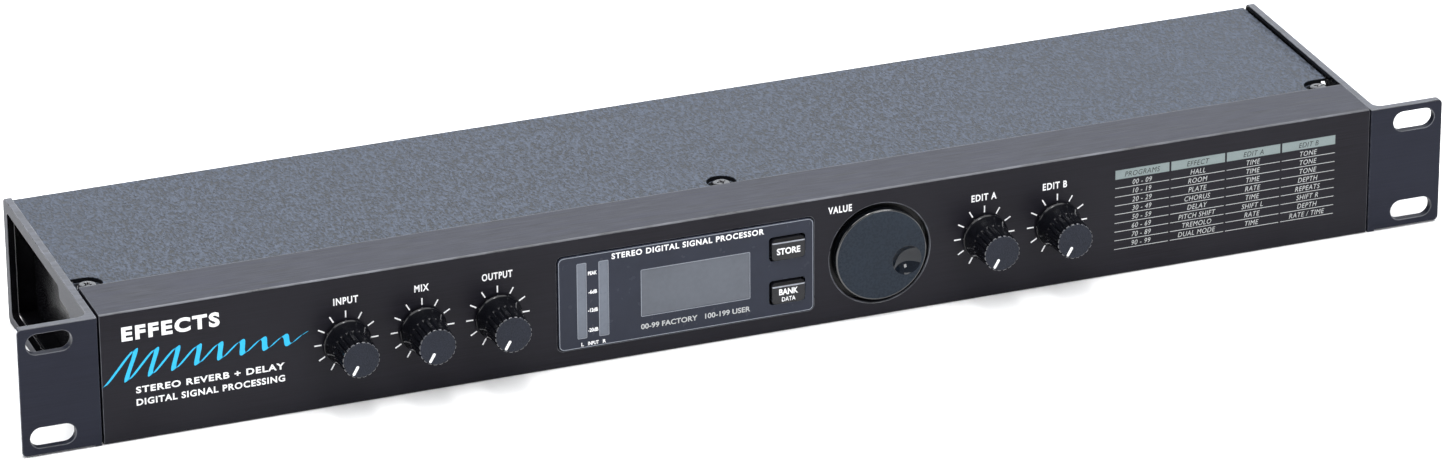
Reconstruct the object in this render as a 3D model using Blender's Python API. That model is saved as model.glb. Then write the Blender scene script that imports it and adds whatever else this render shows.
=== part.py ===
"""Rack effects unit, one rack unit high, built as separate sub-parts.

Metres, +Z up.  +X runs to the right of someone facing the front panel and +Y runs to the rear.
Every piece hangs from one empty that stands on the outer plane of the front panel, so a y of zero
below means that plane, and a z of zero is the surface that the unit rests on.
"""

import math

import bmesh
import bpy
from mathutils import Matrix

# ---- rack standard and overall sizes ----
RACK_WIDTH = 0.4826
PANEL_HEIGHT = 0.0443
EAR_BOTTOM = 0.0005
EAR_TOP = 0.0437
CASE_DEPTH = 0.0982
EAR_SLOT_X = 0.2312
EAR_SLOT_SPACING = 0.03175
EAR_SLOT_LENGTH = 0.0146
EAR_SLOT_HEIGHT = 0.0069

# ---- sheet metal ----
GAP = 0.0003
SHEET = 0.0012
OVERCUT = 0.002
HOLE_REACH = 0.003
PANEL_SHEET = 0.0020
EAR_SHEET = 0.0026
SIDE_PLATE = 0.0025
SIDE_PLATE_OUTER = 0.2182
SIDE_PLATE_INNER = SIDE_PLATE_OUTER - SIDE_PLATE
BEND_RADIUS = 0.0030
EAR_CORNER_RADIUS = 0.0016
REAR_CORNER_RADIUS = 0.0022

# ---- window in each side plate, and the step at its front ----
WINDOW_REAR = 0.0946
WINDOW_FRONT = 0.0226
WINDOW_BOTTOM = 0.0032
WINDOW_TOP = 0.0398
WINDOW_STEP_Y = 0.0346
WINDOW_STEP_Z = 0.0356
WINDOW_CORNER = 0.0018

# ---- front panel channel ----
PANEL_HALF_WIDTH = 0.2151
LIP_DEPTH = 0.0221
PANEL_EDGE_RADIUS = 0.0009
END_TAB_INNER = 0.2124
END_TAB_DEPTH = 0.0185
END_TAB_BOTTOM = 0.0042
END_TAB_TOP = 0.0370

# ---- floor, side walls, rear panel and top cover ----
TRAY_HALF_WIDTH = 0.2152
TRAY_FRONT = 0.0026
TRAY_REAR = 0.0977
TRAY_BOTTOM = 0.0023
TRAY_TOP = 0.0404
SIDE_WALL_OUTER = 0.2095
JOG_REAR = 0.0220
RAIL_FRONT = 0.0206
RAIL_REAR = 0.0350
RAIL_BOTTOM = 0.0366
RAIL_TOP = 0.0378
COVER_TOP = 0.0419
COVER_FRONT = 0.0026
COVER_REAR = 0.0992
COVER_FLANGE_BOTTOM = 0.0339
DIMPLE_RADIUS = 0.00485
DIMPLE_FLOOR = 0.0401
DIMPLE_SHELL = 0.0008
DIMPLE_X = 0.2104
DIMPLE_Y = 0.0290
SEAT_ROOM = 0.0060
SEAT_CLEARANCE = 0.0015
SEAT_FRONT_TRIM = 0.0014

# ---- screws ----
SCREW_SHANK_RADIUS = 0.0015
SCREW_HOLE_RADIUS = 0.0019
SCREW_HEAD_RADIUS = 0.0031
SCREW_HEAD_HEIGHT = 0.0014
SCREW_FLAT_SHARE = 0.72
SCREW_RIM_SHARE = 0.55
SCREW_CROSS_LENGTH = 0.0036
SCREW_CROSS_WIDTH = 0.0008
SCREW_CROSS_DEPTH = 0.0009
COVER_SCREW_LENGTH = 0.0060
REAR_SCREW_X = 0.1850
REAR_SCREW_Z = 0.0372
REAR_SCREW_LENGTH = 0.0060
BRACKET_SCREW_Y = 0.0110
BRACKET_SCREW_Z = (0.0105, 0.0325)
BRACKET_SCREW_LENGTH = 0.0085

# ---- controls ----
CONTROL_Z = 0.0219
KNOB_X = {"input": -0.1360, "mix": -0.1110, "output": -0.0861, "edit_a": 0.0791, "edit_b": 0.1045}
KNOB_FRONT = -0.0150
KNOB_BACK = -0.0006
KNOB_SKIRT_RADIUS = 0.00775
KNOB_WAIST_RADIUS = 0.0065
KNOB_CAP_RADIUS = 0.0061
KNOB_FLUTES = 20
KNOB_RIM = 0.0011
KNOB_FACE = 0.0016
SKIRT_SHARE = 0.42
SHOULDER = (0.0001, 0.0006)
FLUTE_DEPTH = 0.0004
SHAFT_RADIUS = 0.0030
SHAFT_BORE_RADIUS = 0.0033
SHAFT_TIP = 0.0020
SHAFT_END_PLAY = 0.0004
POT_SIZE = (0.0120, 0.0067, 0.0130)
POT_FRONT = 0.0024
POT_BORE_DEPTH = 0.0056
PANEL_SHAFT_HOLE = 0.0040

WHEEL_X = 0.0429
WHEEL_RADIUS = 0.01565
WHEEL_HOLE_RADIUS = 0.01715
WHEEL_FRONT = -0.0017
WHEEL_BACK = 0.0026
WHEEL_HUB_RADIUS = 0.0055
WHEEL_HUB_BACK = 0.0040
WHEEL_RIM_RADIUS = 0.0008
WHEEL_BORE = (0.0006, 0.0060)
FINGER_DIMPLE_OFFSET = (0.0088, -0.0033)
FINGER_DIMPLE_RADIUS = 0.0050
FINGER_DIMPLE_DEPTH = 0.0022
BOWL_RINGS = (1.0, 0.86, 0.52)
ENCODER_SIZE = (0.0120, 0.0045, 0.0120)
ENCODER_FRONT = 0.0046
ENCODER_BACK_WALL = 0.0010
ENCODER_SHAFT_FRONT = 0.0010

# ---- display window, level meters and push buttons ----
LENS_LEFT = -0.0662
LENS_RIGHT = 0.0201
LENS_BOTTOM = 0.0060
LENS_TOP = 0.0383
LENS_CORNER = 0.0020
LENS_FRONT = -0.0005
LENS_BACK = 0.0010
LENS_POCKET_DEPTH = 0.0013
POCKET_LAP = 0.0005
WINDOW_CORNER_RADIUS = 0.0006
LENS_WELL_RADIUS = 0.0008
LCD_BOX = (-0.0385, -0.0016, 0.0136, 0.0299)
LEFT_METER_BOX = (-0.0599, -0.0567, 0.0094, 0.0355)
RIGHT_METER_BOX = (-0.0526, -0.0493, 0.0093, 0.0353)
BUTTON_X = 0.01105
BUTTON_Z = {"store": 0.02945, "bank": 0.01420}
BUTTON_WELL = (0.0123, 0.0084)
BUTTON_CAP = (0.0113, 0.0074)
BUTTON_FLANGE = (0.0144, 0.0106)
BUTTON_FRONT = -0.0017
BUTTON_FLANGE_FRONT = 0.0023
BUTTON_FLANGE_BACK = 0.0033
BUTTON_BEVEL = 0.0007
BUTTON_LAP = 0.0002
SWITCH_SIZE = (0.0060, 0.0050, 0.0060)
SWITCH_FRONT = 0.0048

# ---- circuit boards and what they carry ----
FRONT_BOARD_FRONT = 0.0094
BOARD_THICKNESS = 0.0016
FRONT_BOARD_X = (-0.1500, 0.1200)
FRONT_BOARD_Z = (0.0055, 0.0385)
MAIN_BOARD_X = (-0.1950, 0.2000)
MAIN_BOARD_Y = (0.0240, 0.0950)
MAIN_BOARD_BOTTOM = 0.0090
STANDOFF_RADIUS = 0.0028
STANDOFF_X = 0.1800
STANDOFF_Y = (0.0320, 0.0680)
CHIP_HALF_WIDTH = 0.0120
CHIP_Y = (0.0380, 0.0620)
CHIP_HEIGHT = 0.0028

# ---- rear connectors ----
REAR_WALL_INNER = TRAY_REAR - SHEET
JACK_X = {
    "input_left": -0.1200,
    "input_right": -0.0950,
    "output_left": -0.0450,
    "output_right": -0.0200,
    "bypass": 0.0350,
    "control": 0.0600,
}
JACK_Z = 0.0176
JACK_SIZE = (0.0130, 0.0210, 0.0130)
JACK_BUSH_RADIUS = 0.0046
JACK_BUSH_REAR = 0.1010
JACK_BORE_RADIUS = 0.00325
JACK_BORE_DEPTH = 0.0240
JACK_HOLE_RADIUS = 0.0050
NUT_RADIUS = 0.0064
NUT_BORE_RADIUS = 0.0049
NUT_THICKNESS = 0.0020
MIDI_X = {"midi_in": 0.1150, "midi_out": 0.1450}
MIDI_Z = 0.0213
MIDI_SIZE = (0.0200, 0.0120, 0.0200)
MIDI_NOSE_RADIUS = 0.0080
MIDI_NOSE_REAR = 0.0987
MIDI_HOLE_RADIUS = 0.0084
MIDI_SLOT_OUTER = 0.0070
MIDI_SLOT_INNER = 0.0059
MIDI_SLOT_DEPTH = 0.0070
POWER_X = 0.1780
POWER_Z = 0.0167
POWER_SIZE = (0.0100, 0.0140, 0.0110)
POWER_BORE_RADIUS = 0.0031
POWER_PIN_RADIUS = 0.0010
POWER_BORE_DEPTH = 0.0095
POWER_HOLE_RADIUS = 0.0046
POWER_NOSE_RADIUS = 0.0042
POWER_NOSE_REAR = 0.0985

# ---- the empty's place: the origin is under the middle of the whole depth ----
FACE_Y = -(KNOB_FRONT + JACK_BUSH_REAR) / 2

SMOOTH_ANGLE = math.radians(32)
FULL_TURN = 2 * math.pi

# ---- facets round each kind of round piece ----
SMALL_HOLE_SIDES = 10
ROD_SIDES = 14
BUSH_SIDES = 18
WHEEL_SIDES = 44
SCREW_SIDES = 12
STEPS_PER_FLUTE = 2


# ---------------------------------------------------------------- scene and materials
def clear_scene():
    for old in list(bpy.data.objects):
        bpy.data.objects.remove(old, do_unlink=True)


def make_material(name, colour, roughness, metallic=0.0):
    made = bpy.data.materials.new(name)
    made.use_nodes = True
    shader = made.node_tree.nodes["Principled BSDF"]
    shader.inputs["Base Color"].default_value = (*colour, 1.0)
    shader.inputs["Roughness"].default_value = roughness
    shader.inputs["Metallic"].default_value = metallic
    return made


def make_root():
    root = bpy.data.objects.new("panel_plane", None)
    root.location = (0.0, FACE_Y, 0.0)
    bpy.context.scene.collection.objects.link(root)
    return root


# ---------------------------------------------------------------- solids as bmesh
def box_solid(low, high):
    bm = bmesh.new()
    bmesh.ops.create_cube(bm, size=1.0)
    size = [b - a for a, b in zip(low, high)]
    centre = [(a + b) / 2 for a, b in zip(low, high)]
    bmesh.ops.scale(bm, vec=size, verts=bm.verts)
    bmesh.ops.translate(bm, vec=centre, verts=bm.verts)
    return bm


def centred_box(x, z, size, front):
    """A box of size (x, y, z) centred on x and z whose front face is at y = front."""
    width, depth, height = size
    return box_solid(
        (x - width / 2, front, z - height / 2), (x + width / 2, front + depth, z + height / 2)
    )


def prism_solid(outline, start, end, place):
    """Extrudes a closed outline of (u, v) points; place(u, v, w) gives the point at depth w."""
    bm = bmesh.new()
    rings = [[bm.verts.new(place(u, v, w)) for u, v in outline] for w in (start, end)]
    count = len(outline)
    bm.faces.new(rings[0])
    bm.faces.new(reversed(rings[1]))
    for i in range(count):
        j = (i + 1) % count
        bm.faces.new((rings[0][j], rings[0][i], rings[1][i], rings[1][j]))
    bmesh.ops.recalc_face_normals(bm, faces=bm.faces)
    return bm


def loft_solid(levels):
    """A closed solid through outlines of equal point count, each at its own y."""
    bm = bmesh.new()
    rings = [[bm.verts.new((u, y, v)) for u, v in outline] for outline, y in levels]
    count = len(rings[0])
    bm.faces.new(rings[0])
    bm.faces.new(reversed(rings[-1]))
    for near, far in zip(rings, rings[1:]):
        for i in range(count):
            j = (i + 1) % count
            bm.faces.new((near[j], near[i], far[i], far[j]))
    bmesh.ops.recalc_face_normals(bm, faces=bm.faces)
    return bm


def along_x(u, v, w):
    return (w, u, v)


def along_y(u, v, w):
    return (u, w, v)


def along_z(u, v, w):
    return (u, v, w)


def turned_solid(profile, segments, radius_at=None):
    """Turns (radius, y) points about the Y axis; the first and last radius are zero.

    radius_at(index, step, radius) may change a ring's radius at one step round the axis.
    """
    bm = bmesh.new()
    first = bm.verts.new((0.0, profile[0][1], 0.0))
    last = bm.verts.new((0.0, profile[-1][1], 0.0))
    rings = []
    for index, (radius, y) in enumerate(profile[1:-1]):
        ring = []
        for step in range(segments):
            angle = FULL_TURN * step / segments
            here = radius_at(index, step, radius) if radius_at else radius
            ring.append(bm.verts.new((here * math.cos(angle), y, here * math.sin(angle))))
        rings.append(ring)
    for step in range(segments):
        after = (step + 1) % segments
        bm.faces.new((first, rings[0][step], rings[0][after]))
        bm.faces.new((last, rings[-1][after], rings[-1][step]))
        for near, far in zip(rings, rings[1:]):
            bm.faces.new((near[step], far[step], far[after], near[after]))
    bmesh.ops.recalc_face_normals(bm, faces=bm.faces)
    return bm


def rod_solid(radius, start, end, segments=ROD_SIDES):
    """A round rod along Y from start to end, on the Y axis."""
    return turned_solid([(0, start), (radius, start), (radius, end), (0, end)], segments)


def ring_solid(inner, outer, start, end, segments=BUSH_SIDES):
    """A round ring along Y with a square section."""
    bm = bmesh.new()
    corners = ((inner, start), (outer, start), (outer, end), (inner, end))
    rings = []
    for step in range(segments):
        angle = FULL_TURN * step / segments
        rings.append([bm.verts.new((r * math.cos(angle), y, r * math.sin(angle))) for r, y in corners])
    for step in range(segments):
        here, after = rings[step], rings[(step + 1) % segments]
        for i in range(4):
            j = (i + 1) % 4
            bm.faces.new((here[i], here[j], after[j], after[i]))
    bmesh.ops.recalc_face_normals(bm, faces=bm.faces)
    return bm


def moved(bm, x=0.0, y=0.0, z=0.0):
    bmesh.ops.translate(bm, vec=(x, y, z), verts=bm.verts)
    return bm


def turned_to_z(bm):
    """Turns a solid made along Y so that its front (-Y) end points up."""
    bmesh.ops.rotate(bm, matrix=Matrix.Rotation(-math.pi / 2, 3, "X"), verts=bm.verts)
    return bm


def turned_to_x(bm, side):
    """Turns a solid made along Y so that its front (-Y) end points away from the middle."""
    bmesh.ops.rotate(bm, matrix=Matrix.Rotation(side * math.pi / 2, 3, "Z"), verts=bm.verts)
    return bm


def turned_to_left(bm):
    return turned_to_x(bm, -1)


def turned_to_right(bm):
    return turned_to_x(bm, 1)


def turned_to_rear(bm):
    """Turns a solid made along Y so that its front (-Y) end points to the rear."""
    bmesh.ops.rotate(bm, matrix=Matrix.Rotation(math.pi, 3, "Z"), verts=bm.verts)
    return bm


def arc_points(centre, radius, start_deg, end_deg, steps):
    points = []
    for i in range(steps + 1):
        angle = math.radians(start_deg + (end_deg - start_deg) * i / steps)
        points.append((centre[0] + radius * math.cos(angle), centre[1] + radius * math.sin(angle)))
    return points


def rounded_box_outline(left, right, bottom, top, radius, steps=4):
    corners = (
        ((right - radius, top - radius), 0),
        ((left + radius, top - radius), 90),
        ((left + radius, bottom + radius), 180),
        ((right - radius, bottom + radius), 270),
    )
    points = []
    for centre, start in corners:
        points += arc_points(centre, radius, start, start + 90, steps)
    return points


def slot_outline(centre_x, centre_z, length, height, steps=8):
    reach = (length - height) / 2
    right = arc_points((centre_x + reach, centre_z), height / 2, -90, 90, steps)
    left = arc_points((centre_x - reach, centre_z), height / 2, 90, 270, steps)
    return right + left


# ---------------------------------------------------------------- objects
def mesh_object(name, bm, origin=(0.0, 0.0, 0.0)):
    """Makes an object from bm, whose points are given about the panel plane's middle."""
    mesh = bpy.data.meshes.new(name)
    bmesh.ops.translate(bm, vec=[-c for c in origin], verts=bm.verts)
    bm.to_mesh(mesh)
    bm.free()
    made = bpy.data.objects.new(name, mesh)
    made.location = origin
    made.parent = ROOT
    bpy.context.scene.collection.objects.link(made)
    return made


def part(name, bm, finish, origin=(0.0, 0.0, 0.0)):
    made = mesh_object(name, bm, origin)
    made.data.materials.append(finish)
    made.data.shade_smooth()
    made.data.set_sharp_from_angle(angle=SMOOTH_ANGLE)
    return made


def add_boolean(target, bm, operation):
    """Adds an exact Boolean whose hidden operand is bm, in the same coordinates as part()."""
    count = len(target.modifiers)
    helper = mesh_object(f"{target.name}_helper_{count}", bm)
    helper.hide_render = True
    helper.display_type = "WIRE"
    modifier = target.modifiers.new(f"{operation.lower()}_{count}", "BOOLEAN")
    modifier.operation = operation
    modifier.solver = "EXACT"
    modifier.object = helper


def cut(target, *solids):
    for bm in solids:
        add_boolean(target, bm, "DIFFERENCE")


def join(target, *solids):
    for bm in solids:
        add_boolean(target, bm, "UNION")


# ---------------------------------------------------------------- metalwork
def bracket_profile():
    """Plan of a rack bracket's right-hand form: the ear, the bend and the side plate."""
    bend_centre = (SIDE_PLATE_OUTER + BEND_RADIUS, EAR_SHEET + BEND_RADIUS)
    return [
        (SIDE_PLATE_INNER, 0.0),
        (RACK_WIDTH / 2, 0.0),
        (RACK_WIDTH / 2, EAR_SHEET),
        *arc_points(bend_centre, BEND_RADIUS, 270, 180, 4),
        (SIDE_PLATE_OUTER, CASE_DEPTH),
        (SIDE_PLATE_INNER, CASE_DEPTH),
    ]


def window_outline():
    """The side plate's window, with a step where its front end narrows under the top rail."""
    r = WINDOW_CORNER
    return [
        *arc_points((WINDOW_REAR - r, WINDOW_TOP - r), r, 0, 90, 3),
        *arc_points((WINDOW_STEP_Y + r, WINDOW_TOP - r), r, 90, 180, 3),
        *arc_points((WINDOW_STEP_Y - r, WINDOW_STEP_Z + r), r, 360, 270, 3),
        *arc_points((WINDOW_FRONT + r, WINDOW_STEP_Z - r), r, 90, 180, 3),
        *arc_points((WINDOW_FRONT + r, WINDOW_BOTTOM + r), r, 180, 270, 3),
        *arc_points((WINDOW_REAR - r, WINDOW_BOTTOM + r), r, 270, 360, 3),
    ]


def round_corner_cutter(corner, inward, radius, start, end, place):
    """A cutter that rounds off the square corner of a plate; inward points into the plate."""
    (u, v), (du, dv) = corner, inward
    over = OVERCUT / 2
    centre = (u + du * radius, v + dv * radius)
    arc = []
    for i in range(5):
        angle = math.pi / 2 * i / 4
        arc.append((centre[0] - du * radius * math.sin(angle), centre[1] - dv * radius * math.cos(angle)))
    outside = [
        (u - du * over, centre[1]),
        (u - du * over, v - dv * over),
        (centre[0], v - dv * over),
    ]
    return prism_solid(arc + outside, start, end, place)


def make_bracket(side_name, side):
    def plan(u, v, w):
        return (side * u, v, w)

    def face(u, v, w):
        return (side * u, w, v)

    def plate(u, v, w):
        return (side * w, u, v)

    bracket = part(f"{side_name}_rack_bracket", prism_solid(bracket_profile(), 0.0, EAR_TOP, plan), EAR_PAINT)
    over = OVERCUT
    middle = (EAR_TOP + EAR_BOTTOM) / 2
    through = (SIDE_PLATE_INNER - over, SIDE_PLATE_OUTER + over)
    ear_end = RACK_WIDTH / 2
    cut(bracket, prism_solid(window_outline(), *through, plate))
    for rise in (-0.5, 0.5):
        slot = slot_outline(EAR_SLOT_X, middle + rise * EAR_SLOT_SPACING, EAR_SLOT_LENGTH, EAR_SLOT_HEIGHT)
        cut(bracket, prism_solid(slot, -over, EAR_SHEET + over, face))
    relief = [
        (SIDE_PLATE_OUTER, -over),
        (ear_end + over, -over),
        (ear_end + over, EAR_BOTTOM),
        (SIDE_PLATE_OUTER, EAR_BOTTOM),
    ]
    cut(bracket, prism_solid(relief, -over, EAR_SHEET + BEND_RADIUS + over, face))
    radius = EAR_CORNER_RADIUS
    cut(
        bracket,
        round_corner_cutter((ear_end, EAR_TOP), (-1, -1), radius, -over, EAR_SHEET + over, face),
        round_corner_cutter((ear_end, EAR_BOTTOM), (-1, 1), radius, -over, EAR_SHEET + over, face),
        round_corner_cutter((CASE_DEPTH, EAR_TOP), (-1, -1), REAR_CORNER_RADIUS, *through, plate),
        round_corner_cutter((CASE_DEPTH, 0.0), (-1, 1), REAR_CORNER_RADIUS, *through, plate),
    )
    for z in BRACKET_SCREW_Z:
        hole = turned_to_x(rod_solid(SCREW_HOLE_RADIUS, -HOLE_REACH, HOLE_REACH, SMALL_HOLE_SIDES), side)
        cut(bracket, moved(hole, x=side * SIDE_PLATE_OUTER, y=BRACKET_SCREW_Y, z=z))


def channel_profile():
    """Section of the front panel: a face with a lip turned back along its top and bottom."""
    r = PANEL_EDGE_RADIUS
    t = PANEL_SHEET
    return [
        (LIP_DEPTH, PANEL_HEIGHT),
        *arc_points((r, PANEL_HEIGHT - r), r, 90, 180, 3),
        *arc_points((r, r), r, 180, 270, 3),
        (LIP_DEPTH, 0.0),
        (LIP_DEPTH, t),
        (t, t),
        (t, PANEL_HEIGHT - t),
        (LIP_DEPTH, PANEL_HEIGHT - t),
    ]


def box_cutter(bounds, margin, start, end, radius=WINDOW_CORNER_RADIUS):
    left, right, bottom, top = bounds
    outline = rounded_box_outline(left - margin, right + margin, bottom - margin, top + margin, radius, 2)
    return prism_solid(outline, start, end, along_y)


def button_bounds(z, size):
    return (BUTTON_X - size[0] / 2, BUTTON_X + size[0] / 2, z - size[1] / 2, z + size[1] / 2)


def make_front_panel():
    body = prism_solid(channel_profile(), -PANEL_HALF_WIDTH, PANEL_HALF_WIDTH, along_x)
    panel = part("front_panel", body, PANEL_PAINT)
    for side in (-1, 1):
        tab_x = sorted((side * END_TAB_INNER, side * (END_TAB_INNER + SHEET)))
        low = (tab_x[0], PANEL_SHEET / 2, END_TAB_BOTTOM)
        join(panel, box_solid(low, (tab_x[1], END_TAB_DEPTH, END_TAB_TOP)))
    through = (-OVERCUT, PANEL_SHEET + OVERCUT)
    cut(panel, moved(rod_solid(WHEEL_HOLE_RADIUS, *through, WHEEL_SIDES), x=WHEEL_X, z=CONTROL_Z))
    for x in KNOB_X.values():
        cut(panel, moved(rod_solid(PANEL_SHAFT_HOLE, *through), x=x, z=CONTROL_Z))
    lens = (LENS_LEFT, LENS_RIGHT, LENS_BOTTOM, LENS_TOP)
    cut(panel, box_cutter(lens, GAP, -OVERCUT, LENS_POCKET_DEPTH, LENS_CORNER))
    for bounds in (LCD_BOX, LEFT_METER_BOX, RIGHT_METER_BOX):
        cut(panel, box_cutter(bounds, GAP, LENS_POCKET_DEPTH - POCKET_LAP, through[1]))
    for z in BUTTON_Z.values():
        cut(panel, box_cutter(button_bounds(z, BUTTON_WELL), 0.0, LENS_POCKET_DEPTH - POCKET_LAP, through[1]))
    for side in (-1, 1):
        for z in BRACKET_SCREW_Z:
            hole = turned_to_x(rod_solid(SCREW_HOLE_RADIUS, -HOLE_REACH, HOLE_REACH, SMALL_HOLE_SIDES), side)
            cut(panel, moved(hole, x=side * (END_TAB_INNER + SHEET / 2), y=BRACKET_SCREW_Y, z=z))


def make_floor():
    low = (-TRAY_HALF_WIDTH, TRAY_FRONT, TRAY_BOTTOM)
    high = (TRAY_HALF_WIDTH, REAR_WALL_INNER - GAP, TRAY_BOTTOM + SHEET)
    part("chassis_floor", box_solid(low, high), CHASSIS_BLACK)


def make_side_wall(side_name, side):
    """A side wall, its jog at the front and the tab that the bracket is screwed to."""
    bottom = TRAY_BOTTOM + SHEET + GAP

    def upright(x_range, y_range):
        left, right = sorted(side * x for x in x_range)
        return box_solid((left, y_range[0], bottom), (right, y_range[1], TRAY_TOP))

    jog_y = (JOG_REAR - SHEET, JOG_REAR)
    plate = upright((SIDE_WALL_OUTER - SHEET, SIDE_WALL_OUTER), (jog_y[0], REAR_WALL_INNER - GAP))
    wall = part(f"{side_name}_side_wall", plate, CHASSIS_BLACK)
    join(wall, upright((SIDE_WALL_OUTER - SHEET, TRAY_HALF_WIDTH), jog_y))
    join(wall, upright((TRAY_HALF_WIDTH - SHEET, TRAY_HALF_WIDTH), (TRAY_FRONT + GAP, JOG_REAR)))
    seat_x = sorted((side * (SIDE_WALL_OUTER - SEAT_ROOM), side * (TRAY_HALF_WIDTH + OVERCUT)))
    seat_low = (seat_x[0], JOG_REAR, DIMPLE_FLOOR - SEAT_CLEARANCE)
    cut(wall, box_solid(seat_low, (seat_x[1], RAIL_REAR + GAP, TRAY_TOP + OVERCUT)))
    screw_hole = turned_to_z(rod_solid(SCREW_HOLE_RADIUS, -HOLE_REACH, COVER_SCREW_LENGTH, SMALL_HOLE_SIDES))
    cut(wall, moved(screw_hole, x=side * DIMPLE_X, y=DIMPLE_Y, z=TRAY_TOP))
    for z in BRACKET_SCREW_Z:
        hole = turned_to_x(rod_solid(SCREW_HOLE_RADIUS, -HOLE_REACH, HOLE_REACH, SMALL_HOLE_SIDES), side)
        cut(wall, moved(hole, x=side * TRAY_HALF_WIDTH, y=BRACKET_SCREW_Y, z=z))


def rear_hole(radius, sides=ROD_SIDES):
    return rod_solid(radius, -HOLE_REACH, HOLE_REACH, sides)


def make_rear_panel():
    low = (-TRAY_HALF_WIDTH, REAR_WALL_INNER, TRAY_BOTTOM)
    panel = part("rear_panel", box_solid(low, (TRAY_HALF_WIDTH, TRAY_REAR, TRAY_TOP)), CHASSIS_BLACK)
    for x in JACK_X.values():
        cut(panel, moved(rear_hole(JACK_HOLE_RADIUS), x=x, y=TRAY_REAR, z=JACK_Z))
    for x in MIDI_X.values():
        cut(panel, moved(rear_hole(MIDI_HOLE_RADIUS, BUSH_SIDES), x=x, y=TRAY_REAR, z=MIDI_Z))
    cut(panel, moved(rear_hole(POWER_HOLE_RADIUS), x=POWER_X, y=TRAY_REAR, z=POWER_Z))
    for x in (-REAR_SCREW_X, REAR_SCREW_X):
        hole = rear_hole(SCREW_HOLE_RADIUS, SMALL_HOLE_SIDES)
        cut(panel, moved(hole, x=x, y=TRAY_REAR, z=REAR_SCREW_Z))


def make_cover_rail():
    """The strip under the cover's front edge that the middle cover screw bites into."""
    reach = SIDE_WALL_OUTER - SHEET - GAP
    low = (-reach, RAIL_FRONT, RAIL_BOTTOM)
    rail = part("cover_rail", box_solid(low, (reach, RAIL_REAR, RAIL_TOP)), CHASSIS_BLACK)
    hole = turned_to_z(rod_solid(SCREW_HOLE_RADIUS, -HOLE_REACH, HOLE_REACH, SMALL_HOLE_SIDES))
    cut(rail, moved(hole, y=DIMPLE_Y, z=RAIL_TOP))


def dimple_relief(x):
    """The pressed seat of one cover screw; the outer two run out through the cover's side edge."""
    radius = DIMPLE_RADIUS
    if x == 0.0:
        outline = arc_points((0.0, DIMPLE_Y), radius, 0, 345, 23)
    else:
        side = math.copysign(1.0, x)
        edge = side * (TRAY_HALF_WIDTH + OVERCUT)
        round_end = arc_points((x, DIMPLE_Y), radius, 90, 270, 12)
        if side < 0:
            round_end = [(2 * x - px, py) for px, py in round_end]
        outline = [*round_end, (edge, DIMPLE_Y - radius), (edge, DIMPLE_Y + radius)]
    return prism_solid(outline, DIMPLE_FLOOR, COVER_TOP + OVERCUT, along_z)


def make_cover():
    top = box_solid(
        (-TRAY_HALF_WIDTH, COVER_FRONT, COVER_TOP - SHEET), (TRAY_HALF_WIDTH, COVER_REAR, COVER_TOP)
    )
    cover = part("top_cover", top, COVER_PAINT)
    join(
        cover,
        box_solid(
            (-TRAY_HALF_WIDTH, COVER_REAR - SHEET, COVER_FLANGE_BOTTOM),
            (TRAY_HALF_WIDTH, COVER_REAR, COVER_TOP - SHEET / 2),
        ),
    )
    seat_bottom = DIMPLE_FLOOR - DIMPLE_SHELL
    reach = DIMPLE_RADIUS + DIMPLE_SHELL
    for x in (-DIMPLE_X, 0.0, DIMPLE_X):
        outer = min(x + reach, TRAY_HALF_WIDTH - SHEET - GAP)
        inner = max(x - reach, -TRAY_HALF_WIDTH + SHEET + GAP)
        low = (inner, DIMPLE_Y - reach + SEAT_FRONT_TRIM, seat_bottom)
        seat = box_solid(low, (outer, DIMPLE_Y + reach, COVER_TOP - SHEET / 2))
        join(cover, seat)
        cut(cover, dimple_relief(x))
        hole = turned_to_z(rod_solid(SCREW_HOLE_RADIUS, -HOLE_REACH, HOLE_REACH, SMALL_HOLE_SIDES))
        cut(cover, moved(hole, x=x, y=DIMPLE_Y, z=DIMPLE_FLOOR))
    for x in (-REAR_SCREW_X, REAR_SCREW_X):
        hole = rod_solid(SCREW_HOLE_RADIUS, -HOLE_REACH, HOLE_REACH, SMALL_HOLE_SIDES)
        cut(cover, moved(hole, x=x, y=COVER_REAR, z=REAR_SCREW_Z))


# ---------------------------------------------------------------- screws
def screw_solid(length):
    """A pan head screw along Y: its head's top faces -Y and its shoulder is at y = 0."""
    head, top = SCREW_HEAD_RADIUS, -SCREW_HEAD_HEIGHT
    profile = [
        (0, top),
        (head * SCREW_FLAT_SHARE, top),
        (head, top * SCREW_RIM_SHARE),
        (head, 0),
        (SCREW_SHANK_RADIUS, 0),
        (SCREW_SHANK_RADIUS, length),
        (0, length),
    ]
    return turned_solid(profile, SCREW_SIDES)


def cross_cutters():
    """The two bars of a screw head's cross, cut from y = -SCREW_HEAD_HEIGHT inwards."""
    half_length, half_width = SCREW_CROSS_LENGTH / 2, SCREW_CROSS_WIDTH / 2
    outside, floor = -SCREW_HEAD_HEIGHT - OVERCUT, -SCREW_HEAD_HEIGHT + SCREW_CROSS_DEPTH
    outline = []
    for sx, sz in ((1, 1), (-1, 1), (-1, -1), (1, -1)):
        points = [(sx * half_length, sz * half_width), (sx * half_width, sz * half_width)]
        points.append((sx * half_width, sz * half_length))
        outline += points if sx * sz > 0 else points[::-1]
    return prism_solid(outline, outside, floor, along_y)


def make_screw(name, length, turn, place):
    screw = part(name, moved(turn(screw_solid(length)), *place), SCREW_STEEL)
    cut(screw, moved(turn(cross_cutters()), *place))


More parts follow.
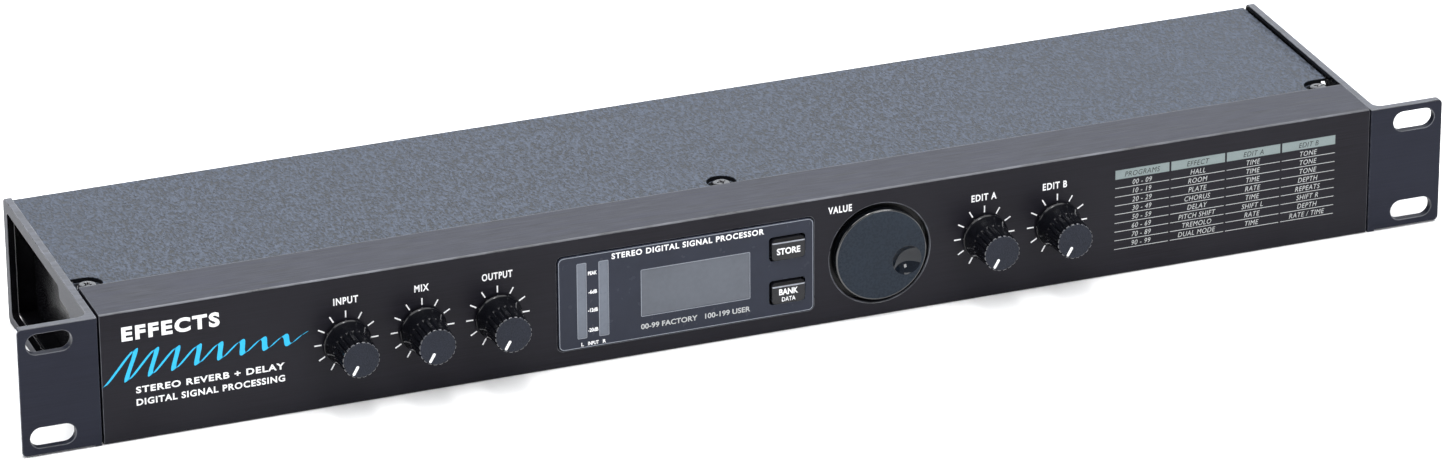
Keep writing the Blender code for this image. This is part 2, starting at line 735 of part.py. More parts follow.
def make_screws():
    for x, where in ((-DIMPLE_X, "left"), (0.0, "middle"), (DIMPLE_X, "right")):
        place = (x, DIMPLE_Y, DIMPLE_FLOOR + GAP)
        make_screw(f"cover_screw_front_{where}", COVER_SCREW_LENGTH, turned_to_z, place)
    for x, where in ((-REAR_SCREW_X, "left"), (REAR_SCREW_X, "right")):
        place = (x, COVER_REAR + GAP, REAR_SCREW_Z)
        make_screw(f"cover_screw_rear_{where}", REAR_SCREW_LENGTH, turned_to_rear, place)
    for side, where, outward in ((-1, "left", turned_to_left), (1, "right", turned_to_right)):
        for z, level in zip(BRACKET_SCREW_Z, ("lower", "upper")):
            place = (side * (SIDE_PLATE_OUTER + GAP), BRACKET_SCREW_Y, z)
            name = f"bracket_screw_{where}_{level}"
            make_screw(name, BRACKET_SCREW_LENGTH, outward, place)


# ---------------------------------------------------------------- knobs and value wheel
def knob_solid():
    """A fluted push-on knob on the Y axis with a wide smooth skirt."""
    height = KNOB_BACK - KNOB_FRONT
    flute_start = KNOB_BACK - SKIRT_SHARE * height
    profile = [
        (0, KNOB_FRONT),
        (KNOB_CAP_RADIUS, KNOB_FRONT),
        (KNOB_WAIST_RADIUS - SHOULDER[0], flute_start - SHOULDER[1]),
        (KNOB_WAIST_RADIUS, flute_start),
        (KNOB_SKIRT_RADIUS, KNOB_BACK - KNOB_RIM),
        (KNOB_SKIRT_RADIUS, KNOB_BACK),
        (0, KNOB_BACK),
    ]
    fluted_rings = (0, 1)

    def fluted_radius(index, step, radius):
        in_groove = index in fluted_rings and step % STEPS_PER_FLUTE == 0
        return radius - FLUTE_DEPTH if in_groove else radius

    return turned_solid(profile, STEPS_PER_FLUTE * KNOB_FLUTES, fluted_radius)


def make_knob_set(name, x):
    """A knob, the shaft that it is pressed on and the potentiometer behind the panel."""
    axis = (x, 0.0, CONTROL_Z)
    knob = part(f"{name}_knob", moved(knob_solid(), x=x, z=CONTROL_Z), KNOB_PLASTIC, axis)
    bore = rod_solid(SHAFT_BORE_RADIUS, KNOB_FRONT + KNOB_FACE, OVERCUT)
    cut(knob, moved(bore, x=x, z=CONTROL_Z))
    shaft_end = POT_FRONT + POT_BORE_DEPTH - SHAFT_END_PLAY
    shaft = rod_solid(SHAFT_RADIUS, KNOB_FRONT + SHAFT_TIP, shaft_end)
    part(f"{name}_pot_shaft", moved(shaft, x=x, z=CONTROL_Z), SHAFT_STEEL, axis)
    pot = part(f"{name}_pot", centred_box(x, CONTROL_Z, POT_SIZE, POT_FRONT), POT_BLUE)
    pot_bore = rod_solid(SHAFT_BORE_RADIUS, POT_FRONT - OVERCUT, POT_FRONT + POT_BORE_DEPTH)
    cut(pot, moved(pot_bore, x=x, z=CONTROL_Z))


def bowl_cutter():
    """A round bowl for the fingertip, open towards -Y, on the Y axis at the wheel's face."""
    radius, depth = FINGER_DIMPLE_RADIUS, FINGER_DIMPLE_DEPTH
    profile = [(0, WHEEL_FRONT - OVERCUT), (radius, WHEEL_FRONT - OVERCUT)]
    for share in BOWL_RINGS:
        profile.append((radius * share, WHEEL_FRONT + depth * (1 - share**2)))
    profile.append((0, WHEEL_FRONT + depth))
    return turned_solid(profile, BUSH_SIDES)


def make_value_wheel():
    axis = (WHEEL_X, 0.0, CONTROL_Z)
    rim = WHEEL_RIM_RADIUS
    edge = arc_points((WHEEL_RADIUS - rim, WHEEL_FRONT + rim), rim, 270, 360, 2)
    profile = [
        (0, WHEEL_FRONT),
        *edge,
        (WHEEL_RADIUS, WHEEL_BACK),
        (WHEEL_HUB_RADIUS, WHEEL_BACK),
        (WHEEL_HUB_RADIUS, WHEEL_HUB_BACK),
        (0, WHEEL_HUB_BACK),
    ]
    solid = moved(turned_solid(profile, WHEEL_SIDES), x=WHEEL_X, z=CONTROL_Z)
    wheel = part("value_wheel", solid, WHEEL_PLASTIC, axis)
    offset_x, offset_z = FINGER_DIMPLE_OFFSET
    cut(wheel, moved(bowl_cutter(), x=WHEEL_X + offset_x, z=CONTROL_Z + offset_z))
    cut(wheel, moved(rod_solid(SHAFT_BORE_RADIUS, *WHEEL_BORE), x=WHEEL_X, z=CONTROL_Z))
    bore_floor = ENCODER_FRONT + ENCODER_SIZE[1] - ENCODER_BACK_WALL
    shaft = rod_solid(SHAFT_RADIUS, ENCODER_SHAFT_FRONT, bore_floor - SHAFT_END_PLAY)
    part("encoder_shaft", moved(shaft, x=WHEEL_X, z=CONTROL_Z), SHAFT_STEEL, axis)
    encoder = part("encoder_body", centred_box(WHEEL_X, CONTROL_Z, ENCODER_SIZE, ENCODER_FRONT), POT_BLUE)
    encoder_bore = rod_solid(SHAFT_BORE_RADIUS, ENCODER_FRONT - OVERCUT, bore_floor)
    cut(encoder, moved(encoder_bore, x=WHEEL_X, z=CONTROL_Z))


# ---------------------------------------------------------------- display and buttons
def make_display():
    lens_shape = rounded_box_outline(LENS_LEFT, LENS_RIGHT, LENS_BOTTOM, LENS_TOP, LENS_CORNER, 5)
    lens = part("display_lens", prism_solid(lens_shape, LENS_FRONT, LENS_BACK, along_y), LENS_TINT)
    for z in BUTTON_Z.values():
        cut(lens, box_cutter(button_bounds(z, BUTTON_WELL), 0.0, -HOLE_REACH, HOLE_REACH, LENS_WELL_RADIUS))
    back = FRONT_BOARD_FRONT - GAP
    front = PANEL_SHEET + GAP
    for name, bounds, finish in (
        ("lcd_module", LCD_BOX, LCD_GREY),
        ("left_level_meter", LEFT_METER_BOX, METER_GREY),
        ("right_level_meter", RIGHT_METER_BOX, METER_GREY),
    ):
        left, right, bottom, top = bounds
        part(name, box_solid((left, front, bottom), (right, back, top)), finish)


def make_button(name, z):
    """A push button cap with a retaining flange behind the panel."""
    width, height = BUTTON_CAP
    half_w, half_h = width / 2, height / 2
    front_w, front_h = half_w - BUTTON_BEVEL, half_h - BUTTON_BEVEL

    def rectangle(hw, hh):
        return rounded_box_outline(BUTTON_X - hw, BUTTON_X + hw, z - hh, z + hh, BUTTON_BEVEL, 2)

    levels = [
        (rectangle(front_w, front_h), BUTTON_FRONT),
        (rectangle(half_w, half_h), BUTTON_FRONT + BUTTON_BEVEL),
        (rectangle(half_w, half_h), BUTTON_FLANGE_FRONT + BUTTON_LAP),
    ]
    cap = part(f"{name}_button", loft_solid(levels), BUTTON_PLASTIC, (BUTTON_X, 0.0, z))
    depth = BUTTON_FLANGE_BACK - BUTTON_FLANGE_FRONT
    flange = (BUTTON_FLANGE[0], depth, BUTTON_FLANGE[1])
    join(cap, centred_box(BUTTON_X, z, flange, BUTTON_FLANGE_FRONT))


# ---------------------------------------------------------------- electronics
def make_boards():
    """The front board with its two switches, and the main board with its stand-offs and chip."""
    back = FRONT_BOARD_FRONT + BOARD_THICKNESS
    low = (FRONT_BOARD_X[0], FRONT_BOARD_FRONT, FRONT_BOARD_Z[0])
    front_board = part("front_board", box_solid(low, (FRONT_BOARD_X[1], back, FRONT_BOARD_Z[1])), BOARD_GREEN)
    for z in BUTTON_Z.values():
        join(front_board, centred_box(BUTTON_X, z, SWITCH_SIZE, SWITCH_FRONT))
    top = MAIN_BOARD_BOTTOM + BOARD_THICKNESS
    low = (MAIN_BOARD_X[0], MAIN_BOARD_Y[0], MAIN_BOARD_BOTTOM)
    main_board = part("main_board", box_solid(low, (MAIN_BOARD_X[1], MAIN_BOARD_Y[1], top)), BOARD_GREEN)
    post_bottom = TRAY_BOTTOM + SHEET + GAP
    for x in (-STANDOFF_X, STANDOFF_X):
        for y in STANDOFF_Y:
            post = rod_solid(STANDOFF_RADIUS, -(MAIN_BOARD_BOTTOM + GAP), -post_bottom, SMALL_HOLE_SIDES)
            join(main_board, moved(turned_to_z(post), x=x, y=y))
    chip_low = (-CHIP_HALF_WIDTH, CHIP_Y[0], top + GAP)
    chip_high = (CHIP_HALF_WIDTH, CHIP_Y[1], top + GAP + CHIP_HEIGHT)
    part("dsp_chip", box_solid(chip_low, chip_high), CHIP_BLACK)


def make_jack(name, x):
    """A quarter-inch jack: moulded body, threaded bush through the rear wall, and its nut."""
    body_rear = REAR_WALL_INNER - GAP
    jack = part(f"{name}_jack", centred_box(x, JACK_Z, JACK_SIZE, body_rear - JACK_SIZE[1]), JACK_BLACK)
    bush = rod_solid(JACK_BUSH_RADIUS, body_rear - OVERCUT, JACK_BUSH_REAR, BUSH_SIDES)
    join(jack, moved(bush, x=x, z=JACK_Z))
    bore = rod_solid(JACK_BORE_RADIUS, JACK_BUSH_REAR - JACK_BORE_DEPTH, JACK_BUSH_REAR + OVERCUT, BUSH_SIDES)
    cut(jack, moved(bore, x=x, z=JACK_Z))
    start = TRAY_REAR + GAP
    hexagon = [(x + px, JACK_Z + pz) for px, pz in arc_points((0, 0), NUT_RADIUS, 30, 330, 5)]
    nut = part(f"{name}_jack_nut", prism_solid(hexagon, start, start + NUT_THICKNESS, along_y), NUT_STEEL)
    nut_bore = rod_solid(NUT_BORE_RADIUS, start - OVERCUT, start + NUT_THICKNESS + OVERCUT, BUSH_SIDES)
    cut(nut, moved(nut_bore, x=x, z=JACK_Z))


def make_midi_socket(name, x):
    """A five-pin DIN socket whose round nose fills its hole in the rear wall."""
    body_rear = REAR_WALL_INNER - GAP
    body = centred_box(x, MIDI_Z, MIDI_SIZE, body_rear - MIDI_SIZE[1])
    socket = part(f"{name}_socket", body, JACK_BLACK)
    nose = rod_solid(MIDI_NOSE_RADIUS, body_rear - OVERCUT, MIDI_NOSE_REAR, BUSH_SIDES)
    join(socket, moved(nose, x=x, z=MIDI_Z))
    start, end = MIDI_NOSE_REAR - MIDI_SLOT_DEPTH, MIDI_NOSE_REAR + OVERCUT
    groove = ring_solid(MIDI_SLOT_INNER, MIDI_SLOT_OUTER, start, end, ROD_SIDES)
    cut(socket, moved(groove, x=x, z=MIDI_Z))


def make_power_socket():
    """A round low-voltage socket with a centre pin."""
    body_rear = REAR_WALL_INNER - GAP
    body = centred_box(POWER_X, POWER_Z, POWER_SIZE, body_rear - POWER_SIZE[1])
    socket = part("power_socket", body, JACK_BLACK)
    nose = rod_solid(POWER_NOSE_RADIUS, body_rear - OVERCUT, POWER_NOSE_REAR)
    join(socket, moved(nose, x=POWER_X, z=POWER_Z))
    floor = POWER_NOSE_REAR - POWER_BORE_DEPTH
    well = (POWER_PIN_RADIUS, POWER_BORE_RADIUS, floor, POWER_NOSE_REAR + OVERCUT)
    cut(socket, moved(ring_solid(*well, ROD_SIDES), x=POWER_X, z=POWER_Z))


# ---------------------------------------------------------------- build
clear_scene()
ROOT = make_root()

PANEL_PAINT = make_material("panel_paint", (0.020, 0.020, 0.023), 0.45)
EAR_PAINT = make_material("ear_paint", (0.038, 0.044, 0.056), 0.42)
COVER_PAINT = make_material("cover_paint", (0.145, 0.170, 0.205), 0.60)
CHASSIS_BLACK = make_material("chassis_black", (0.008, 0.008, 0.009), 0.22)
SCREW_STEEL = make_material("screw_steel", (0.30, 0.30, 0.31), 0.30, 1.0)
KNOB_PLASTIC = make_material("knob_plastic", (0.016, 0.017, 0.020), 0.42)
WHEEL_PLASTIC = make_material("wheel_plastic", (0.025, 0.034, 0.045), 0.38)
LENS_TINT = make_material("lens_tint", (0.045, 0.055, 0.072), 0.25)
LCD_GREY = make_material("lcd_grey", (0.20, 0.23, 0.27), 0.30)
METER_GREY = make_material("meter_grey", (0.20, 0.23, 0.26), 0.35)
BUTTON_PLASTIC = make_material("button_plastic", (0.014, 0.014, 0.016), 0.35)
SHAFT_STEEL = make_material("shaft_steel", (0.55, 0.55, 0.56), 0.30, 1.0)
POT_BLUE = make_material("pot_blue", (0.04, 0.07, 0.16), 0.50)
BOARD_GREEN = make_material("board_green", (0.02, 0.13, 0.05), 0.45)
CHIP_BLACK = make_material("chip_black", (0.02, 0.02, 0.02), 0.55)
JACK_BLACK = make_material("jack_black", (0.015, 0.015, 0.016), 0.40)
NUT_STEEL = make_material("nut_steel", (0.62, 0.62, 0.63), 0.28, 1.0)

make_front_panel()
make_bracket("left", -1)
make_bracket("right", 1)
make_floor()
make_side_wall("left", -1)
make_side_wall("right", 1)
make_rear_panel()
make_cover_rail()
make_cover()
make_screws()
for knob_name, knob_x in KNOB_X.items():
    make_knob_set(knob_name, knob_x)
make_value_wheel()
make_display()
for button_name, button_z in BUTTON_Z.items():
    make_button(button_name, button_z)
make_boards()
for jack_name, jack_x in JACK_X.items():
    make_jack(jack_name, jack_x)
for midi_name, midi_x in MIDI_X.items():
    make_midi_socket(midi_name, midi_x)
make_power_socket()
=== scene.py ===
"""Looks for the rack effects unit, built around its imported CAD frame.

Metres, +Z up.  +X runs to the right of someone facing the front panel and +Y runs to the rear.
Solids are made with y measured from the front panel's outer plane, and piece() then moves them
to the frame's place.  Every mesh is in the frame's coordinates, with its object at the origin.
"""

import math

import bmesh
import bpy
from mathutils import Matrix, Vector


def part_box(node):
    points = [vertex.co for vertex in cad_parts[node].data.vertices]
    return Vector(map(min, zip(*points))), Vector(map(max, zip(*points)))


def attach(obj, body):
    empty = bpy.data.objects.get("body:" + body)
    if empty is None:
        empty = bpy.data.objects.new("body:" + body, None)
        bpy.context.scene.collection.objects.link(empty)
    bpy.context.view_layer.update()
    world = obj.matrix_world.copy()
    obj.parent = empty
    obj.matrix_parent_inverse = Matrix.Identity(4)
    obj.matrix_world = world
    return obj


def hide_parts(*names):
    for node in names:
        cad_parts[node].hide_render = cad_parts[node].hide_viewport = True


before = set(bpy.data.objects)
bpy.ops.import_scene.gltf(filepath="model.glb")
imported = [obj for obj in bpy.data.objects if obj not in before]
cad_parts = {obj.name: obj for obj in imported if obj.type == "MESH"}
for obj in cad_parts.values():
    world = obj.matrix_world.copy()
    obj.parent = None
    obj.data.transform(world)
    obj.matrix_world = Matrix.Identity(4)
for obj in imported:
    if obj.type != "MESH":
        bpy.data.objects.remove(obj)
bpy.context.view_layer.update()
FULL_TURN = 2 * math.pi
MM = 0.001


# ---------------------------------------------------------------- places and sizes
FACE_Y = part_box("front_panel")[0].y


class Span:
    """A node's box at rest, with y measured from the front panel's outer plane."""

    def __init__(self, node):
        low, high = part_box(node)
        self.left, self.front, self.bottom = low.x, low.y - FACE_Y, low.z
        self.right, self.back, self.top = high.x, high.y - FACE_Y, high.z
        self.x = (self.left + self.right) / 2
        self.y = (self.front + self.back) / 2
        self.z = (self.bottom + self.top) / 2
        self.radius = (self.right - self.left) / 2

    def block(self):
        return box_solid((self.left, self.front, self.bottom), (self.right, self.back, self.top))


PANEL = Span("front_panel")
COVER = Span("top_cover")
FLOOR = Span("chassis_floor")
REAR = Span("rear_panel")
RIGHT_BRACKET = Span("right_rack_bracket")
LENS = Span("display_lens")
LCD = Span("lcd_module")
METERS = (Span("left_level_meter"), Span("right_level_meter"))
WHEEL = Span("value_wheel")
KNOBS = {name: Span(f"{name}_knob") for name in ("input", "mix", "output", "edit_a", "edit_b")}
BUTTONS = {name: Span(f"{name}_button") for name in ("store", "bank")}
JACKS = ("input_left", "input_right", "output_left", "output_right", "bypass", "control")

SHEET = 1.2 * MM
PANEL_SHEET = 2.0 * MM
PANEL_EDGE_RADIUS = 0.9 * MM
END_TAB = 2.7 * MM
END_TAB_DEPTH = 18.5 * MM
END_TAB_BOTTOM = 4.2 * MM
END_TAB_TOP = 37.0 * MM
LIP_EDGE = 0.35 * MM
HOLE_CHAMFER = 0.30 * MM
SHAFT_HOLE_RADIUS = 4.0 * MM
POCKET_DEPTH = 1.3 * MM
POCKET_MARGIN = 0.3 * MM
POCKET_CORNER = 0.6 * MM
THROUGH = (-2.0 * MM, PANEL_SHEET + 2.0 * MM)
LENS_CORNER = 2.0 * MM
LENS_EDGE = 0.16 * MM
RECESS_FLOOR = LENS.front + 0.4 * MM
BUTTON_WELL = (12.3 * MM, 8.4 * MM)
BUTTON_CAP = (11.3 * MM, 7.4 * MM)
BUTTON_EDGE = 0.38 * MM
BUTTON_CORNER = 1.5 * MM
BUTTON_FLANGE_FRONT = 2.3 * MM
BUTTON_BROW = 1.15 * MM
CREST_HEIGHT = 0.42 * MM
CREST_DEPTH = 0.16 * MM
BROW_DEPTH = 0.62 * MM
WHEEL_HOLE_RADIUS = 17.15 * MM
WHEEL_RIM = 0.55 * MM
WHEEL_DISC_BACK = 2.6 * MM
WHEEL_HUB_RADIUS = 5.5 * MM
WELL_BORE = 6.4 * MM
WELL_FLOOR = 3.4 * MM
FINGER_DIMPLE = (8.8 * MM, -3.3 * MM)
FINGER_DIMPLE_RADIUS = 5.0 * MM
FINGER_DIMPLE_DEPTH = 2.2 * MM

EAR_SHEET = 2.6 * MM
EAR_BOTTOM = 0.5 * MM
SIDE_PLATE = 2.5 * MM
SIDE_PLATE_INNER = 215.7 * MM
BEND_RADIUS = 3.0 * MM
BRACKET_EDGE_RADIUS = 0.4 * MM
EAR_CORNER = 1.6 * MM
REAR_CORNER = 2.2 * MM
SLOT_X = 231.2 * MM
SLOT_SPACING = 31.75 * MM
SLOT_LENGTH = 14.6 * MM
SLOT_HEIGHT = 6.9 * MM
WINDOW_REAR = 94.6 * MM
WINDOW_FRONT = 22.6 * MM
WINDOW_BOTTOM = 3.2 * MM
WINDOW_TOP = 39.8 * MM
WINDOW_STEP_Y = 34.6 * MM
WINDOW_STEP_Z = 35.6 * MM
WINDOW_CORNER = 1.8 * MM
BRACKET_SCREW_Y = 11.0 * MM
BRACKET_SCREW_Z = tuple(Span(f"bracket_screw_right_{level}").z for level in ("lower", "upper"))
SCREW_HOLE_RADIUS = 1.9 * MM
SCREW_HEAD_RADIUS = 3.1 * MM
SCREW_HEAD_HEIGHT = 1.4 * MM
SCREW_SHANK_RADIUS = 1.5 * MM
SCREW_LENGTH = 4.6 * MM
SCREW_THREAD = 0.5 * MM
SCREW_SEATING = 0.3 * MM
SCREW_SPIN = 37
HOLE_REACH = 3.0 * MM
PAST = 2.0 * MM
WELD = 0.002 * MM

DIMPLE_RADIUS = 4.85 * MM
DIMPLE_FLOOR = 40.1 * MM
DIMPLE_SHELL = 0.8 * MM
DIMPLE_Y = 29.0 * MM
DIMPLE_X = 210.4 * MM
SEAT_MARGIN = 1.5 * MM
SEAT_TRIM = 1.4 * MM
DIMPLE_PLACES = (-DIMPLE_X, 0.0, DIMPLE_X)
DIMPLE_REACH = DIMPLE_RADIUS + DIMPLE_SHELL
COVER_BEND_RADIUS = 0.9 * MM
RAIL_REAR = 35.0 * MM
RAIL_GAP = 0.3 * MM
WALL_SEAT_REACH = 5.0 * MM
WALL_SEAT_DROP = 1.5 * MM
JOG_RADIUS = 1.0 * MM
SIDE_WALL_OUTER = 209.5 * MM
JOG_REAR = 22.0 * MM

KNOB_WAIST = 6.5 * MM
KNOB_CAP = 6.1 * MM
KNOB_FLUTES = 20
FLUTE_DEPTH = 0.45 * MM
SAMPLES_PER_FLUTE = 12
FLUTE_START = 0.43
FLUTE_WIDTH = 0.27
CAP_EDGE = 0.30 * MM
KNOB_FACE_INSET = 0.05 * MM
POINTER_INNER = 2.1 * MM
POINTER_WIDTH = 0.92 * MM
POINTER_TURN = 210

JACK_HOLE_RADIUS = 5.0 * MM
JACK_BUSH_RADIUS = 4.6 * MM
JACK_BORE_RADIUS = 3.25 * MM
JACK_BORE_DEPTH = 24.0 * MM
JACK_THREAD = 0.5 * MM
NUT_HEX_RADIUS = 6.45 * MM
MIDI_HOLE_RADIUS = 8.4 * MM
MIDI_NOSE_RADIUS = 8.0 * MM
MIDI_BLOCK = (20.0 * MM, 20.0 * MM)
MIDI_PIN_CIRCLE = 4.2 * MM
MIDI_GROOVE = (5.9 * MM, 7.0 * MM)
POWER_HOLE_RADIUS = 4.6 * MM
POWER_NOSE_RADIUS = 4.2 * MM
POWER_BLOCK = (10.0 * MM, 11.0 * MM)
SOCKET_CORNER = 0.6 * MM
REAR_LAP = 0.3 * MM


# ---------------------------------------------------------------- solids as bmesh
def box_solid(low, high):
    bm = bmesh.new()
    bmesh.ops.create_cube(bm, size=1.0)
    bmesh.ops.scale(bm, vec=[b - a for a, b in zip(low, high)], verts=bm.verts)
    bmesh.ops.translate(bm, vec=[(a + b) / 2 for a, b in zip(low, high)], verts=bm.verts)
    return bm


def outward(bm):
    """Turns every face of a closed solid to the outside."""
    bmesh.ops.recalc_face_normals(bm, faces=bm.faces)
    if bm.calc_volume(signed=True) < 0:
        bmesh.ops.reverse_faces(bm, faces=bm.faces)
    return bm


def loft_solid(levels):
    """A closed solid through outlines of (x, z) points, each given with its own y."""
    bm = bmesh.new()
    rings = [[bm.verts.new((u, y, v)) for u, v in outline] for outline, y in levels]
    count = len(rings[0])
    bm.faces.new(rings[0])
    bm.faces.new(reversed(rings[-1]))
    for near, far in zip(rings, rings[1:]):
        for i in range(count):
            j = (i + 1) % count
            bm.faces.new((near[j], near[i], far[i], far[j]))
    return outward(bm)


def prism_solid(outline, start, end):
    """Extrudes an outline of (x, z) points along y."""
    return loft_solid([(outline, start), (outline, end)])


def placed(bm, place):
    """Moves every point (x, y, z) of a solid to place(x, y, z)."""
    for vert in bm.verts:
        vert.co = place(*vert.co)
    return outward(bm)


def along_x(u, w, v):
    return (w, u, v)


def along_z(u, w, v):
    return (u, v, w)


def turned_solid(profile, segments, radius_at=None):
    """Turns (radius, y) points about the Y axis; the first and last radius are zero."""
    bm = bmesh.new()
    first = bm.verts.new((0.0, profile[0][1], 0.0))
    last = bm.verts.new((0.0, profile[-1][1], 0.0))
    rings = []
    for index, (radius, y) in enumerate(profile[1:-1]):
        ring = []
        for step in range(segments):
            angle = FULL_TURN * step / segments
            here = radius_at(index, angle, radius) if radius_at else radius
            ring.append(bm.verts.new((here * math.sin(angle), y, here * math.cos(angle))))
        rings.append(ring)
    for step in range(segments):
        after = (step + 1) % segments
        bm.faces.new((first, rings[0][step], rings[0][after]))
        bm.faces.new((last, rings[-1][after], rings[-1][step]))
        for near, far in zip(rings, rings[1:]):
            bm.faces.new((near[step], far[step], far[after], near[after]))
    return outward(bm)


def rod_solid(radius, start, end, segments=32):
    return turned_solid([(0, start), (radius, start), (radius, end), (0, end)], segments)


def hole_solid(radius=SCREW_HOLE_RADIUS, segments=32):
    """A rod about y = 0 that cuts a hole through a sheet."""
    return rod_solid(radius, -HOLE_REACH, HOLE_REACH, segments)


def ring_solid(section, segments=64):
    """Turns a closed section of (radius, y) points, clear of the axis, about the Y axis."""
    bm = bmesh.new()
    rings = []
    for step in range(segments):
        angle = FULL_TURN * step / segments
        rings.append([bm.verts.new((r * math.cos(angle), y, r * math.sin(angle))) for r, y in section])
    count = len(section)
    for step in range(segments):
        here, after = rings[step], rings[(step + 1) % segments]
        for i in range(count):
            j = (i + 1) % count
            bm.faces.new((here[i], here[j], after[j], after[i]))
    return outward(bm)


def moved(bm, x=0.0, y=0.0, z=0.0):
    bmesh.ops.translate(bm, vec=(x, y, z), verts=bm.verts)
    return bm


def centred(bm, span):
    """Moves a solid made about the Y axis to the middle of a span."""
    return moved(bm, x=span.x, z=span.z)


def mirrored(bm, side):
    """The same solid for side 1 and its mirror image for side -1."""
    return bm if side > 0 else placed(bm, lambda x, y, z: (-x, y, z))


def turned(bm, degrees, axis):
    bmesh.ops.rotate(bm, matrix=Matrix.Rotation(math.radians(degrees), 3, axis), verts=bm.verts)
    return bm


def gathered(*solids):
    """Puts loose solids together in one bmesh, without cutting them."""
    whole = bmesh.new()
    for bm in solids:
        mesh = bpy.data.meshes.new("gathered")
        bm.to_mesh(mesh)
        bm.free()
        whole.from_mesh(mesh)
        bpy.data.meshes.remove(mesh)
    return whole


def arc_points(centre, radius, start_deg, end_deg, steps):
    points = []
    for i in range(steps + 1):
        angle = math.radians(start_deg + (end_deg - start_deg) * i / steps)
        points.append((centre[0] + radius * math.cos(angle), centre[1] + radius * math.sin(angle)))
    return points


def rounded_outline(left, right, bottom, top, radius, steps=8):
    corners = (
        ((right - radius, top - radius), 0),
        ((left + radius, top - radius), 90),
        ((left + radius, bottom + radius), 180),
        ((right - radius, bottom + radius), 270),
    )
    points = []
    for centre, start in corners:
        points += arc_points(centre, radius, start, start + 90, steps)
    return points


def grown(span, margin, radius, steps=8):
    """A span's rounded outline with a margin on every side."""
    sides = (span.left - margin, span.right + margin, span.bottom - margin, span.top + margin)
    return rounded_outline(*sides, radius, steps)


def centred_outline(span, size, radius, inset=0.0, steps=8):
    """A rounded outline of a given width and height about a span's middle."""
    half_w, half_h = size[0] / 2 - inset, size[1] / 2 - inset
    sides = (span.x - half_w, span.x + half_w, span.z - half_h, span.z + half_h)
    return rounded_outline(*sides, radius, steps)


def well_outline(button):
    return centred_outline(button, BUTTON_WELL, 1.2 * MM)


def temporary(bm):
    mesh = bpy.data.meshes.new("temporary")
    bm.to_mesh(mesh)
    bm.free()
    made = bpy.data.objects.new("temporary", mesh)
    bpy.context.scene.collection.objects.link(made)
    return made


def boolean(bm, steps):
    """Works through exact Booleans on bm, each step a solid and an operation."""
    base = temporary(bm)
    helpers = [(temporary(solid), operation) for solid, operation in steps]
    for helper, operation in helpers:
        modifier = base.modifiers.new(operation, "BOOLEAN")
        modifier.operation = operation
        modifier.solver = "EXACT"
        modifier.object = helper
    result = evaluated(base)
    for made in [base, *(helper for helper, _ in helpers)]:
        old_mesh = made.data
        bpy.data.objects.remove(made, do_unlink=True)
        bpy.data.meshes.remove(old_mesh)
    return result


def combined(bm, joins=(), cuts=()):
    """Adds the joins to bm, takes the cuts out of it and welds what lies closer than WELD."""
    steps = [(solid, "UNION") for solid in joins] + [(solid, "DIFFERENCE") for solid in cuts]
    result = boolean(bm, steps)
    bmesh.ops.remove_doubles(result, verts=result.verts, dist=WELD)
    return result


def evaluated(made):
    """An object's mesh, with its modifiers or its lettering worked out."""
    graph = bpy.context.evaluated_depsgraph_get()
    mesh = bpy.data.meshes.new_from_object(made.evaluated_get(graph))
    result = bmesh.new()
    result.from_mesh(mesh)
    bpy.data.meshes.remove(mesh)
    return result


# ---------------------------------------------------------------- pieces
SHARP = math.radians(34)


def piece(name, bm, finishes, slot, nodes=(), body="chassis", bevel=0.0, pick=None, edge=-1):
    """Makes a visible piece that rides on a body and stands for the given CAD nodes.

    pick(face) gives the index of a face's finish, where there is more than one, and edge is
    the index of the finish that the rounded edges get.
    """
    bmesh.ops.translate(bm, vec=(0.0, FACE_Y, 0.0), verts=bm.verts)
    if pick:
        for face in bm.faces:
            face.material_index = pick(face)
    mesh = bpy.data.meshes.new(name)
    bm.to_mesh(mesh)
    bm.free()
    for made in finishes:
        mesh.materials.append(made)
    mesh.shade_smooth()
    made = bpy.data.objects.new(name, mesh)
    bpy.context.scene.collection.objects.link(made)
    if bevel:
        round_off = made.modifiers.new("round_edges", "BEVEL")
        round_off.width = bevel
        round_off.segments = 3
        round_off.limit_method = "ANGLE"
        round_off.angle_limit = SHARP
        round_off.use_clamp_overlap = False
        round_off.material = edge
        made.modifiers.new("even_shading", "WEIGHTED_NORMAL").keep_sharp = True
    else:
        mesh.set_sharp_from_angle(angle=SHARP)
    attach(made, body)
    if nodes:
        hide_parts(*nodes)
    return made


